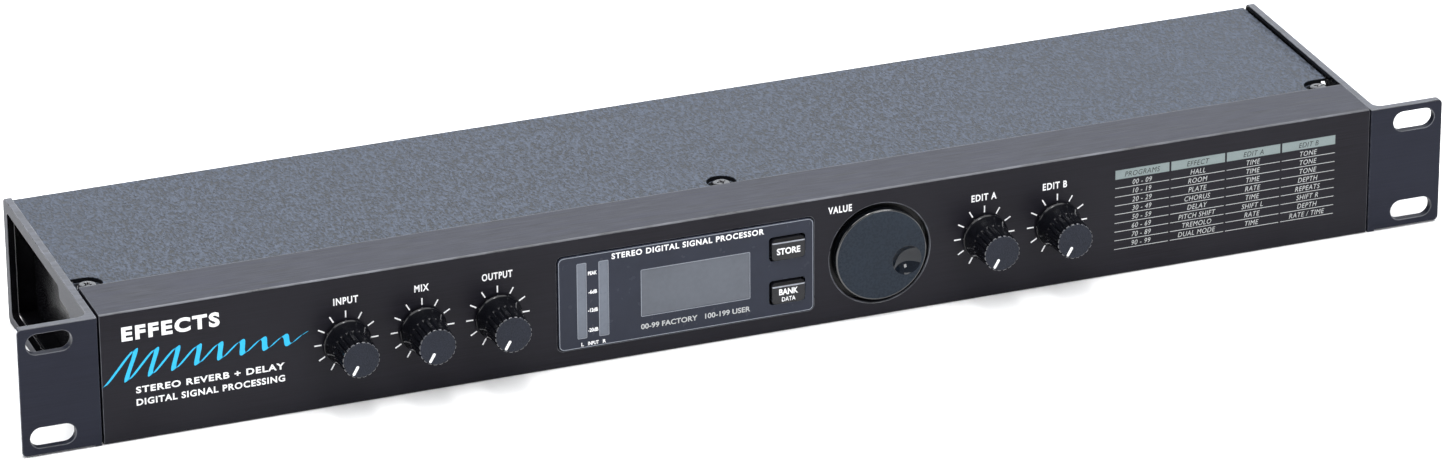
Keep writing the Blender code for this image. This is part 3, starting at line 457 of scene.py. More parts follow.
# ---------------------------------------------------------------- finishes
class Finish:
    """Builds one procedural material from object coordinates."""

    def __init__(self, name, roughness, metallic=0.0, specular=0.5):
        self.material = bpy.data.materials.new(name)
        self.material.use_nodes = True
        self.tree = self.material.node_tree
        self.shader = self.tree.nodes["Principled BSDF"]
        self.roughness = roughness
        self.fill(self.shader, Roughness=roughness, Metallic=metallic, Specular_IOR_Level=specular)
        self.coordinates = self.node("TexCoord").outputs["Object"]

    def put(self, socket, value):
        """Sets a socket to a value, or links another node's output to it."""
        if isinstance(value, bpy.types.NodeSocket):
            self.tree.links.new(value, socket)
        else:
            socket.default_value = value

    def fill(self, node, **inputs):
        for name, value in inputs.items():
            self.put(node.inputs[name.replace("_", " ")], value)
        return node

    def node(self, kind, **inputs):
        return self.fill(self.tree.nodes.new(f"ShaderNode{kind}"), **inputs)

    def noise(self, per_metre, stretch=(1.0, 1.0, 1.0), detail=3.0):
        """Noise with the given number of grains to a metre, in the range 0 to 1."""
        place = self.node("Mapping", Vector=self.coordinates, Scale=[per_metre * s for s in stretch])
        grain = self.node("TexNoise", Vector=place.outputs["Vector"], Scale=1.0, Detail=detail)
        return self.mapped(grain.outputs["Fac"], 0.3, 0.7, 0.0, 1.0)

    def mapped(self, value, low, high, to_low, to_high):
        ends = {"From_Min": low, "From_Max": high, "To_Min": to_low, "To_Max": to_high}
        return self.node("MapRange", Value=value, **ends).outputs["Result"]

    def mixed(self, factor, first, second):
        """A colour between first and second, each a colour or an output."""
        node = self.node("Mix", Factor=factor)
        node.data_type = "RGBA"
        for socket, value in ((node.inputs[6], first), (node.inputs[7], second)):
            self.put(socket, (*value, 1.0) if isinstance(value, tuple) else value)
        return node.outputs[2]

    def painted(self, colour):
        self.base = colour
        self.fill(self.shader, Base_Color=colour)
        return self

    def colour(self, base, grain, spread):
        """Colours the surface between darker and lighter shades of base by a noise."""
        dark = tuple(c * (1 - spread) for c in base)
        light = tuple(min(1.0, c * (1 + spread)) for c in base)
        return self.painted(self.mixed(grain, dark, light))

    def tinted(self, grain, tint, share):
        """Lays a tint over the colour by share times a noise."""
        return self.painted(self.mixed(self.mapped(grain, 0.0, 1.0, 0.0, share), self.base, tint))

    def rough(self, grain, spread):
        low, high = self.roughness - spread, self.roughness + spread
        self.fill(self.shader, Roughness=self.mapped(grain, 0.0, 1.0, low, high))
        return self

    def bumped(self, grain, depth):
        bump = self.node("Bump", Height=grain, Distance=depth, Strength=1.0)
        self.fill(self.shader, Normal=bump.outputs["Normal"])
        return self

    def edges(self, radius):
        """A mask that is 1 along convex and concave edges and 0 on flat ground."""
        rounded = self.node("Bevel", Radius=radius)
        rounded.samples = 4
        dot = self.node("VectorMath")
        dot.operation = "DOT_PRODUCT"
        self.put(dot.inputs[0], rounded.outputs["Normal"])
        self.put(dot.inputs[1], self.node("NewGeometry").outputs["Normal"])
        return self.mapped(dot.outputs["Value"], 0.99, 0.86, 0.0, 1.0)

    def edge_wear_and_highlight(self, radius, tint, share, grains=900.0):
        """Wears the colour towards tint along the edges, in patches; a light tint also stands for painted
        highlights on the edges.
        """
        product = self.node("Math")
        product.operation = "MULTIPLY"
        self.put(product.inputs[0], self.edges(radius))
        self.put(product.inputs[1], self.mapped(self.noise(grains), 0.25, 0.85, 0.15, 1.0))
        return self.tinted(product.outputs[0], tint, share)


BRUSHED_X = (0.02, 1.0, 1.0)


def panel_finish():
    made = Finish("panel_paint", 0.38, specular=0.12)
    lines = made.noise(2600, BRUSHED_X, 5.0)
    made.colour((0.0075, 0.0068, 0.0105), lines, 0.30)
    made.tinted(made.noise(26), (0.0120, 0.0118, 0.0160), 0.6)
    made.edge_wear_and_highlight(0.28 * MM, (0.16, 0.165, 0.19), 0.7)
    return made.rough(lines, 0.07).bumped(lines, 0.006 * MM).material


def lip_finish():
    """The panel's folded upper lip, brushed along its length and painted lighter than the face as the sheen
    its upward face catches from the light above.
    """
    made = Finish("lip_paint_and_sheen", 0.42, specular=0.24)
    lines = made.noise(2100, BRUSHED_X, 5.0)
    made.colour((0.0185, 0.0192, 0.0285), lines, 1.0)
    made.tinted(made.noise(900, (0.12, 1.0, 1.0)), (0.036, 0.038, 0.052), 0.75)
    made.edge_wear_and_highlight(0.30 * MM, (0.34, 0.35, 0.38), 0.75)
    return made.rough(lines, 0.10).bumped(lines, 0.02 * MM).material


def edge_highlight_finish():
    """Light grey along rounded edges and chamfers: a painted highlight where these edges catch the light."""
    made = Finish("painted_edge_highlight", 0.34, specular=0.5)
    patches = made.noise(260, (0.35, 1.0, 1.0), 4.0)
    made.colour((0.062, 0.065, 0.076), patches, 0.75)
    return made.rough(patches, 0.10).bumped(patches, 0.01 * MM).material


def ear_finish():
    made = Finish("ear_paint", 0.38, specular=0.10)
    lines = made.noise(2600, BRUSHED_X, 5.0)
    made.colour((0.0120, 0.0132, 0.0220), lines, 0.16)
    made.tinted(made.noise(30), (0.0165, 0.0188, 0.0300), 0.6)
    # Painted highlight: the near-white edge tint stands mostly for the bright lines where the bevels catch
    # the light.
    made.edge_wear_and_highlight(0.32 * MM, (0.46, 0.48, 0.52), 0.9)
    return made.rough(lines, 0.04).bumped(lines, 0.003 * MM).material


def cut_end_sheen_finish():
    """A sheet's cut end, part metallic and painted near white as the light that this end catches."""
    made = Finish("cut_end_painted_sheen", 0.42, metallic=0.35)
    lines = made.noise(3600, (1.0, 1.0, 0.15), 3.0)
    made.colour((0.70, 0.72, 0.75), lines, 0.15)
    return made.rough(lines, 0.10).bumped(lines, 0.01 * MM).material


def sawn_edge_sheen_finish():
    """The upper edge of the side plates, with saw marks across it, painted lighter than the faces as the
    sheen that this upward edge catches, with near-white painted highlights in patches along its rounded
    edges.
    """
    made = Finish("sawn_edge_painted_sheen", 0.40, specular=0.45)
    marks = made.noise(520, (0.03, 1.0, 1.0), 4.0)
    made.colour((0.066, 0.070, 0.084), marks, 0.55)
    made.edge_wear_and_highlight(0.50 * MM, (0.78, 0.80, 0.84), 1.0, 300.0)
    return made.rough(marks, 0.12).bumped(marks, 0.04 * MM).material


def cover_finish():
    made = Finish("cover_paint", 0.50, specular=0.36)
    grit = made.mapped(made.noise(1350, (1.0, 0.5, 1.0), 2.0), 0.12, 0.88, 0.0, 1.0)
    made.colour((0.036, 0.0440, 0.0610), grit, 0.92)
    made.tinted(made.noise(9), (0.043, 0.054, 0.078), 0.25)
    made.edge_wear_and_highlight(0.35 * MM, (0.24, 0.26, 0.30), 0.6)
    return made.rough(grit, 0.14).bumped(grit, 0.14 * MM).material


def tray_finish():
    made = Finish("chassis_black", 0.20, specular=0.16)
    haze = made.noise(90, detail=2.0)
    made.colour((0.0026, 0.0026, 0.0032), haze, 0.35)
    made.edge_wear_and_highlight(0.30 * MM, (0.05, 0.05, 0.055), 0.5)
    return made.rough(haze, 0.06).bumped(made.noise(1400), 0.006 * MM).material


def steel_finish(name, tone, roughness):
    made = Finish(name, roughness, metallic=1.0)
    lines = made.noise(2600, detail=4.0)
    made.colour((tone, tone, tone * 1.03), lines, 0.16)
    made.edge_wear_and_highlight(0.18 * MM, (0.80, 0.80, 0.82), 0.7)
    return made.rough(lines, 0.08).bumped(lines, 0.006 * MM).material


def plastic_finish(
    name, base, roughness, spread=0.22, grains=2600.0, depth=0.008 * MM, specular=0.5, edge_tint=None
):
    made = Finish(name, roughness, specular=specular)
    grain = made.noise(grains, detail=4.0)
    made.colour(base, grain, spread)
    made.tinted(made.noise(60), tuple(c * 1.5 for c in base), 0.4)
    if edge_tint:
        made.edge_wear_and_highlight(0.22 * MM, edge_tint, 0.5)
    return made.rough(grain, 0.07).bumped(grain, depth).material


def ink_finish(name, base):
    made = Finish(name, 0.62, specular=0.3)
    grain = made.noise(4200, detail=3.0)
    made.colour(base, grain, 0.07)
    return made.rough(grain, 0.06).material


PANEL_PAINT = panel_finish()
LIP_PAINT_AND_SHEEN = lip_finish()
EDGE_HIGHLIGHT = edge_highlight_finish()
EAR_PAINT = ear_finish()
CUT_END_SHEEN = cut_end_sheen_finish()
SAWN_EDGE_SHEEN = sawn_edge_sheen_finish()
COVER_PAINT = cover_finish()
# The chassis's own black, also used as painted shade on the brackets' window and inner sides and on the
# buttons' brows.
CHASSIS_BLACK_AND_SHADE = tray_finish()
SCREW_STEEL = steel_finish("screw_steel", 0.13, 0.20)
NUT_STEEL = steel_finish("nut_nickel", 0.62, 0.24)
SHAFT_STEEL = steel_finish("shaft_steel", 0.50, 0.30)
BRASS = steel_finish("contact_brass", 0.55, 0.30)
KNOB_PLASTIC = plastic_finish("knob_plastic", (0.0028, 0.0030, 0.0042), 0.16, 0.2, 900, 0.001 * MM, 0.32)
KNOB_RIM_PLASTIC = plastic_finish("knob_rim", (0.012, 0.014, 0.020), 0.16, 0.2, 900, 0.001 * MM, 1.0)
KNOB_CAP_PLASTIC = plastic_finish("knob_cap", (0.0118, 0.0140, 0.0215), 0.44, 0.45, 2600, 0.03 * MM, 0.14)
WHEEL_PLASTIC = plastic_finish("wheel_plastic", (0.0100, 0.0155, 0.0240), 0.28, 0.22, 1400, 0.006 * MM, 0.14)
WHEEL_RIM_PLASTIC = plastic_finish("wheel_rim", (0.0025, 0.0030, 0.0040), 0.12, 0.25, 700, 0.001 * MM, 1.0)
DIMPLE_PLASTIC = plastic_finish("wheel_dimple", (0.0045, 0.0065, 0.0105), 0.06, 0.12, 900, 0.0005 * MM, 0.38)
# Painted highlight: light grey for the buttons' crest line.
BUTTON_CREST_HIGHLIGHT = plastic_finish("button_crest_painted_highlight", (0.20, 0.21, 0.24), 0.22, 0.15, 900, 0.001 * MM, 0.8)
# Painted shade: near black for the walls and floor of the cover screws' seats.
SEAT_SHADE = plastic_finish("seat_painted_shade", (0.004, 0.0045, 0.006), 0.40, specular=0.25)
WELL_BLACK = plastic_finish("wheel_well", (0.0035, 0.0035, 0.004), 0.55)
# The lens's light edge tint is edge wear and also a painted highlight along its bevelled edge.
LENS_COLOUR, LENS_EDGE_WEAR_AND_HIGHLIGHT = (0.0170, 0.0200, 0.0315), (0.20, 0.22, 0.26)
LENS_TINT = plastic_finish("lens_tint", LENS_COLOUR, 0.22, 0.05, 300, 0.001 * MM, 0.15, LENS_EDGE_WEAR_AND_HIGHLIGHT)
LCD_GREY = plastic_finish("lcd_grey", (0.080, 0.088, 0.106), 0.18, 0.05, 700, 0.001 * MM, 0.3)
METER_GREY = plastic_finish("meter_grey", (0.110, 0.124, 0.152), 0.34, 0.07, 900, 0.001 * MM, 0.3)
BUTTON_PLASTIC = plastic_finish("button_plastic", (0.0060, 0.0062, 0.0085), 0.20, specular=0.30)
JACK_BLACK = plastic_finish("jack_black", (0.012, 0.012, 0.013), 0.36, edge_tint=(0.06, 0.06, 0.065))
POT_BLUE = plastic_finish("pot_blue", (0.04, 0.07, 0.16), 0.45)
BOARD_GREEN = plastic_finish("board_green", (0.02, 0.13, 0.05), 0.40, 0.25, 350)
CHIP_BLACK = plastic_finish("chip_black", (0.020, 0.020, 0.021), 0.50)
INK_WHITE = ink_finish("ink_white", (0.80, 0.80, 0.81))
INK_GREY = ink_finish("ink_grey", (0.42, 0.43, 0.43))
INK_HEADER = ink_finish("ink_header", (0.190, 0.232, 0.232))
INK_DARK = ink_finish("ink_dark", (0.012, 0.014, 0.014))
INK_CYAN = ink_finish("ink_cyan", (0.020, 0.420, 0.720))
# Ink for the window frames, also used for a painted highlight ring round the lens.
INK_OUTLINE_AND_HIGHLIGHT = ink_finish("ink_outline_and_highlight", (0.24, 0.26, 0.30))


# ---------------------------------------------------------------- metalwork
def side_hole(side, x, z):
    return moved(turned(hole_solid(), 90, "Z"), x=side * x, y=BRACKET_SCREW_Y, z=z)


def rear_screw_holes(y):
    """Cutters for the rear cover screws through a sheet whose outer face is at y."""
    screws = [Span(f"cover_screw_rear_{where}") for where in ("left", "right")]
    return [moved(hole_solid(), x=screw.x, y=y, z=screw.z) for screw in screws]


def make_front_panel():
    r, t, depth, top = PANEL_EDGE_RADIUS, PANEL_SHEET, PANEL.back, PANEL.top
    section = [
        (depth, top),
        (depth - LIP_EDGE, top),
        *arc_points((r, top - r), r, 90, 180, 7),
        *arc_points((r, r), r, 180, 270, 7),
        (depth, 0.0),
        (depth, t),
        *arc_points((t + r / 2, t + r / 2), r / 2, 270, 180, 4),
        *arc_points((t + r / 2, top - t - r / 2), r / 2, 180, 90, 4),
        (depth, top - t),
    ]
    body = placed(prism_solid(section, PANEL.left, PANEL.right), along_x)
    tab, tabs = PANEL.right - END_TAB, []
    for side in (-1, 1):
        inner, outer = sorted((side * tab, side * (tab + SHEET)))
        tabs.append(box_solid((inner, t / 2, END_TAB_BOTTOM), (outer, END_TAB_DEPTH, END_TAB_TOP)))
    hole = [
        (0, THROUGH[0]),
        (WHEEL_HOLE_RADIUS + HOLE_CHAMFER - THROUGH[0], THROUGH[0]),
        (WHEEL_HOLE_RADIUS, HOLE_CHAMFER),
        (WHEEL_HOLE_RADIUS, THROUGH[1]),
        (0, THROUGH[1]),
    ]
    cuts = [centred(turned_solid(hole, 144), WHEEL)]
    cuts += [centred(rod_solid(SHAFT_HOLE_RADIUS, *THROUGH), knob) for knob in KNOBS.values()]
    cuts.append(prism_solid(grown(LENS, POCKET_MARGIN, LENS_CORNER), THROUGH[0], POCKET_DEPTH))
    openings = [grown(window, POCKET_MARGIN, POCKET_CORNER) for window in (LCD, *METERS)]
    openings += [well_outline(button) for button in BUTTONS.values()]
    cuts += [prism_solid(opening, POCKET_DEPTH / 2, THROUGH[1]) for opening in openings]
    cuts += [side_hole(side, tab + SHEET / 2, z) for side in (-1, 1) for z in BRACKET_SCREW_Z]

    def part_of_panel(face):
        """1 for the folded lip, painted lighter as sheen, and 2 for the edges and the wheel hole's chamfer,
        painted light as edge highlights.
        """
        centre, up = face.calc_center_median(), face.normal.z
        if centre.z > top - r and up > 0.5:
            return 1 if up > 0.99 and centre.y - FACE_Y < depth - LIP_EDGE else 2
        chamfer = -0.95 < face.normal.y < -0.4 and centre.y - FACE_Y < HOLE_CHAMFER
        return 2 if chamfer and abs(centre.x - WHEEL.x) < WHEEL.x and centre.z < top - r else 0

    solid = combined(body, tabs, cuts)
    finishes = [PANEL_PAINT, LIP_PAINT_AND_SHEEN, EDGE_HIGHLIGHT]
    look = {"bevel": 0.14 * MM, "pick": part_of_panel, "edge": 2}
    piece("panel", solid, finishes, "panel_paint", ["front_panel"], **look)


def bracket_plan():
    outer, r = SIDE_PLATE_INNER + SIDE_PLATE, BRACKET_EDGE_RADIUS
    bend = (outer + BEND_RADIUS, EAR_SHEET + BEND_RADIUS)
    end, back = RIGHT_BRACKET.right, RIGHT_BRACKET.back
    return [
        *arc_points((SIDE_PLATE_INNER + r, r), r, 180, 270, 4),
        (end, 0.0),
        (end, EAR_SHEET),
        *arc_points(bend, BEND_RADIUS, 270, 180, 10),
        (outer, back),
        (SIDE_PLATE_INNER, back),
    ]


def window_outline():
    r = WINDOW_CORNER
    corners = [
        (WINDOW_REAR - r, WINDOW_TOP - r, 0, 90),
        (WINDOW_STEP_Y + r, WINDOW_TOP - r, 90, 180),
        (WINDOW_STEP_Y - r, WINDOW_STEP_Z + r, 360, 270),
        (WINDOW_FRONT + r, WINDOW_STEP_Z - r, 90, 180),
        (WINDOW_FRONT + r, WINDOW_BOTTOM + r, 180, 270),
        (WINDOW_REAR - r, WINDOW_BOTTOM + r, 270, 360),
    ]
    return [point for y, z, start, end in corners for point in arc_points((y, z), r, start, end, 7)]


def corner_outline(u, v, dv, radius):
    """What is cut away to round the far corner (u, v) of a plate that lies on the dv side of v."""
    centre_u, centre_v = u - radius, v + dv * radius
    arc = []
    for i in range(9):
        angle = math.pi / 2 * i / 8
        arc.append((centre_u + radius * math.sin(angle), centre_v - dv * radius * math.cos(angle)))
    beyond_u, beyond_v = u + PAST / 2, v - dv * PAST / 2
    return [*arc, (beyond_u, centre_v), (beyond_u, beyond_v), (centre_u, beyond_v)]


def slot_outline(centre_x, centre_z):
    reach, radius = (SLOT_LENGTH - SLOT_HEIGHT) / 2, SLOT_HEIGHT / 2
    right = arc_points((centre_x + reach, centre_z), radius, -90, 90, 20)
    return right + arc_points((centre_x - reach, centre_z), radius, 90, 270, 20)


def make_bracket(side_name, side):
    end, top, back = RIGHT_BRACKET.right, RIGHT_BRACKET.top, RIGHT_BRACKET.back
    outer = SIDE_PLATE_INNER + SIDE_PLATE
    body = placed(prism_solid(bracket_plan(), 0.0, top), along_z)
    plate_range = (SIDE_PLATE_INNER - PAST, outer + PAST)
    face_range = (-PAST, EAR_SHEET + PAST)
    cuts = [placed(prism_solid(window_outline(), *plate_range), along_x)]
    for rise in (-0.5, 0.5):
        z = (top + EAR_BOTTOM) / 2 + rise * SLOT_SPACING
        cuts.append(prism_solid(slot_outline(SLOT_X, z), *face_range))
    under_ear = (end + PAST, EAR_SHEET + BEND_RADIUS + PAST, EAR_BOTTOM)
    cuts.append(box_solid((outer, -PAST, -PAST / 2), under_ear))
    for z, dz in ((top, -1), (EAR_BOTTOM, 1)):
        cuts.append(prism_solid(corner_outline(end, z, dz, EAR_CORNER), *face_range))
    for z, dz in ((top, -1), (0.0, 1)):
        cuts.append(placed(prism_solid(corner_outline(back, z, dz, REAR_CORNER), *plate_range), along_x))
    cuts += [side_hole(1, outer, z) for z in BRACKET_SCREW_Z]
    bracket = mirrored(combined(body, cuts=cuts), side)

    def cut_side(face):
        """1 for the ear's outer end and 2 for the upper edge, both painted lighter as the light they catch; 3
        for the window's sides and the inner side, painted black as shade.
        """
        x, y, z = face.calc_center_median()
        y -= FACE_Y
        if abs(face.normal.x) > 0.7 and abs(x) > end - EAR_CORNER:
            return 1
        if face.normal.z > 0.7 and z > top - 0.2 * MM:
            return 2
        if abs(x) < SIDE_PLATE_INNER + 0.05 * MM and y > PANEL.back:
            return 3
        in_window = WINDOW_FRONT - 0.1 * MM < y < WINDOW_REAR + 0.1 * MM and PAST / 2 < z < top - PAST / 2
        return 3 if in_window and abs(face.normal.x) < 0.5 else 0

    node = f"{side_name}_rack_bracket"
    finishes = [EAR_PAINT, CUT_END_SHEEN, SAWN_EDGE_SHEEN, CHASSIS_BLACK_AND_SHADE, EDGE_HIGHLIGHT]
    look = {"bevel": 0.22 * MM, "pick": cut_side, "edge": 4}
    piece(f"{side_name}_bracket", bracket, finishes, "ear_paint", [node], **look)


def dimple_outline(x):
    """The pressed seat of one cover screw; the outer two run out through the cover's side edge."""
    if x == 0.0:
        return arc_points((0.0, DIMPLE_Y), DIMPLE_RADIUS, 0, 352.5, 47)
    side = math.copysign(1.0, x)
    edge = side * (COVER.right + PAST)
    half = arc_points((x, DIMPLE_Y), DIMPLE_RADIUS, 90, -90, 24)
    round_end = [(x - side * (px - x), py) for px, py in half]
    return [*round_end, (edge, DIMPLE_Y - DIMPLE_RADIUS), (edge, DIMPLE_Y + DIMPLE_RADIUS)]


def make_cover():
    r, top = COVER_BEND_RADIUS, COVER.top
    section = [
        (COVER.front, top),
        *arc_points((COVER.back - r, top - r), r, 90, 0, 7),
        (COVER.back, COVER.bottom),
        (COVER.back - SHEET, COVER.bottom),
        (COVER.back - SHEET, top - SHEET),
        (COVER.front, top - SHEET),
    ]
    body = placed(prism_solid(section, COVER.left, COVER.right), along_x)
    joins, cuts = [], []
    for x in DIMPLE_PLACES:
        left = max(x - DIMPLE_REACH, COVER.left + SEAT_MARGIN)
        right = min(x + DIMPLE_REACH, COVER.right - SEAT_MARGIN)
        low = (left, DIMPLE_Y - DIMPLE_REACH + SEAT_TRIM, DIMPLE_FLOOR - DIMPLE_SHELL)
        joins.append(box_solid(low, (right, DIMPLE_Y + DIMPLE_REACH, top - SHEET / 2)))
        cuts.append(placed(prism_solid(dimple_outline(x), DIMPLE_FLOOR, top + PAST), along_z))
        cuts.append(moved(turned(hole_solid(), -90, "X"), x=x, y=DIMPLE_Y, z=DIMPLE_FLOOR))
    cuts += rear_screw_holes(COVER.back)

    def in_seat(face):
        centre = face.calc_center_median()
        y = centre.y - FACE_Y - DIMPLE_Y
        near = any(math.hypot(centre.x - x, y) < DIMPLE_REACH for x in DIMPLE_PLACES)
        return int(near and DIMPLE_FLOOR - 0.1 * MM < centre.z < top - 0.1 * MM)

    # The seats' walls and floor take the near-black painted shade.
    solid, finishes = combined(body, joins, cuts), [COVER_PAINT, SEAT_SHADE]
    piece("cover", solid, finishes, "cover_paint", ["top_cover"], bevel=0.22 * MM, pick=in_seat, edge=0)


def side_wall_solid(wall):
    """The right side wall, which steps outward behind the panel's end tab."""
    outer, inner, tab, r = SIDE_WALL_OUTER, SIDE_WALL_OUTER - SHEET, FLOOR.right, JOG_RADIUS
    plan = [
        (tab, wall.front),
        (tab, JOG_REAR - r),
        *arc_points((tab - r, JOG_REAR - r), r, 0, 90, 5)[1:],
        (outer, JOG_REAR),
        (outer, wall.back),
        (inner, wall.back),
        (inner, JOG_REAR - SHEET + r),
        *arc_points((inner + r, JOG_REAR - SHEET + r), r, 180, 270, 5)[1:],
        (tab - SHEET, JOG_REAR - SHEET),
        (tab - SHEET, wall.front),
    ]
    body = placed(prism_solid(plan, wall.bottom, wall.top), along_z)
    seat_low = (inner - WALL_SEAT_REACH, JOG_REAR, DIMPLE_FLOOR - WALL_SEAT_DROP)
    seat = box_solid(seat_low, (tab + PAST, RAIL_REAR + RAIL_GAP, wall.top + PAST))
    return combined(body, cuts=[seat, *(side_hole(1, tab, z) for z in BRACKET_SCREW_Z)])


def make_tray():
    piece("tray_floor", FLOOR.block(), [CHASSIS_BLACK_AND_SHADE], "chassis_black", ["chassis_floor"], bevel=0.25 * MM)
    for name, side in (("left", -1), ("right", 1)):
        node = f"{name}_side_wall"
        solid = mirrored(side_wall_solid(Span(node)), side)
        piece(f"{name}_wall", solid, [CHASSIS_BLACK_AND_SHADE], "chassis_black", [node], bevel=0.15 * MM)
    holes = [(f"{jack}_jack", JACK_HOLE_RADIUS) for jack in JACKS]
    holes += [("midi_in_socket", MIDI_HOLE_RADIUS), ("midi_out_socket", MIDI_HOLE_RADIUS)]
    holes.append(("power_socket", POWER_HOLE_RADIUS))
    cuts = [moved(centred(hole_solid(radius, 48), Span(node)), y=REAR.back) for node, radius in holes]
    solid = combined(REAR.block(), cuts=[*cuts, *rear_screw_holes(REAR.back)])
    piece("rear_wall", solid, [CHASSIS_BLACK_AND_SHADE], "chassis_black", ["rear_panel"], bevel=0.12 * MM)


# ---------------------------------------------------------------- screws
def screw_template():
    """A pan head screw along Y with its shoulder at y = 0 and a cross recess in its head."""
    radius, top, shank = SCREW_HEAD_RADIUS, -SCREW_HEAD_HEIGHT, SCREW_SHANK_RADIUS
    side, crown = 0.9 * MM, 0.88 * MM
    profile = [(0, top), (radius * 0.45, top + 0.02 * MM), (radius * 0.62, top + 0.07 * MM)]
    for a in (1.2, 0.8, 0.4, 0.0):
        profile.append((radius - side + side * math.cos(a), top * 0.32 + crown * -math.sin(a)))
    profile += [(radius, -0.05 * MM), (radius - 0.1 * MM, 0.0), (shank, 0.0)]
    y = 0.0
    while y < SCREW_LENGTH:
        profile += [(shank, y + 0.1 * MM), (shank - 0.22 * MM, y + 0.3 * MM), (shank, y + 0.5 * MM)]
        y += SCREW_THREAD
    profile += [(shank - 0.4 * MM, y + 0.6 * MM), (0, y + 0.6 * MM)]
    mouth, floor, half, corner = 2.05 * MM, 0.75 * MM, 0.42 * MM, 0.2 * MM
    levels = [
        (rounded_outline(-mouth, mouth, -half, half, corner, 3), top - 0.6 * MM),
        (rounded_outline(-floor, floor, -half * 0.7, half * 0.7, corner, 3), top + 1.15 * MM),
    ]
    cuts = [turned(loft_solid(levels), turn, "Y") for turn in (45, 135)]
    cone = [(0, -0.3), (1.05, -0.3), (0.45, 1.2), (0, 1.3)]
    cuts.append(turned_solid([(r * MM, top + y * MM) for r, y in cone], 24))
    return combined(turned_solid(profile, 48), cuts=cuts)


def make_screws():
    front, rear = DIMPLE_FLOOR + SCREW_SEATING, COVER.back + SCREW_SEATING
    side = SIDE_PLATE_INNER + SIDE_PLATE + SCREW_SEATING
    screws = [(f"cover_screw_front_{where}", -90, "X", {"z": front}) for where in ("left", "middle", "right")]
    screws += [(f"cover_screw_rear_{where}", 180, "Z", {"y": rear}) for where in ("left", "right")]
    for where, sign in (("left", -1), ("right", 1)):
        for level in ("lower", "upper"):
            screws.append((f"bracket_screw_{where}_{level}", sign * 90, "Z", {"x": sign * side}))
    template = screw_template()
    for number, (node, degrees, axis, shoulder) in enumerate(screws):
        span = Span(node)
        screw = turned(turned(template.copy(), number * SCREW_SPIN, "Y"), degrees, axis)
        moved(screw, **{"x": span.x, "y": span.y, "z": span.z, **shoulder})
        piece(f"{node}_head", screw, [SCREW_STEEL], "screw_steel", [node])
    template.free()


# ---------------------------------------------------------------- knobs and value wheel
def knob_profile(span):
    """(radius, y, groove share) from the knob's underside to its cap."""
    skirt, front, back = span.radius, span.front + KNOB_FACE_INSET, span.back
    edge = 0.25 * MM
    points = [(skirt - edge, back, 0)]
    points += [(r, y, 0) for r, y in ((skirt, back - edge), (skirt, back - 0.85 * MM))]
    start = back - FLUTE_START * (back - front)
    shoulder = skirt - 0.28 * MM
    low = back - 1.1 * MM
    for step in range(9):
        t = step / 8
        points.append((KNOB_WAIST + (shoulder - KNOB_WAIST) * (1 - t) ** 1.55, low + (start - low) * t, 0))
    barrel_end = front + CAP_EDGE
    for t in (0.015, 0.035, 0.06, 0.09, 0.125, 0.4, 0.7, 1.0):
        depth = math.sqrt(1 - (1 - min(1.0, t / 0.125)) ** 2)
        points.append((KNOB_WAIST + (KNOB_CAP - KNOB_WAIST) * t, start + (barrel_end - start) * t, depth))
    for degrees in (30, 60, 90):
        a = math.radians(degrees)
        points.append((KNOB_CAP - CAP_EDGE * (1 - math.cos(a)), barrel_end - CAP_EDGE * math.sin(a), 1))
    cap = KNOB_CAP - CAP_EDGE
    points += [(cap - 0.06 * MM, front, 1), (cap - 0.75 * MM, front, 0), (cap - 2 * MM, front, 0)]
    return points


def knob_solid(span):
    points = knob_profile(span)

    def fluted(index, angle, radius):
        phase = (angle / FULL_TURN * KNOB_FLUTES) % 1.0
        away = min(phase, 1 - phase) / FLUTE_WIDTH
        groove = math.cos(math.pi / 2 * away) ** 2 if away < 1 else 0.0
        return radius - FLUTE_DEPTH * points[index][2] * groove

    profile = [(0, points[0][1])] + [(r, y) for r, y, _ in points] + [(0, points[-1][1])]
    return turned_solid(profile, KNOB_FLUTES * SAMPLES_PER_FLUTE, fluted)


def marked(bm, pick):
    """Gives each face the index of its finish before the solid leaves the Y axis."""
    for face in bm.faces:
        face.material_index = pick(face)
    return bm


def make_knob(name, span):
    cap, body = KNOB_CAP - CAP_EDGE, f"{name}_knob"

    def part_of_knob(face):
        """1 for the cap's face and 2 for its polished rim."""
        centre = face.calc_center_median()
        if centre.y > span.front + 0.06 * MM + CAP_EDGE:
            return 0
        return 1 if math.hypot(centre.x, centre.z) < cap - 0.03 * MM else 2

    solid = centred(marked(knob_solid(span), part_of_knob), span)
    finishes = [KNOB_PLASTIC, KNOB_CAP_PLASTIC, KNOB_RIM_PLASTIC]
    piece(f"{name}_knob_shell", solid, finishes, "knob_plastic", [body], body=body)
    half = POINTER_WIDTH / 2
    bar = rounded_outline(-half, half, POINTER_INNER, cap - 0.25 * MM, half * 0.98, 6)
    pointer = turned(prism_solid(bar, span.front + 0.02 * MM, span.front + 0.25 * MM), POINTER_TURN, "Y")
    piece(f"{name}_knob_pointer", centred(pointer, span), [INK_WHITE], "knob_plastic", body=body)


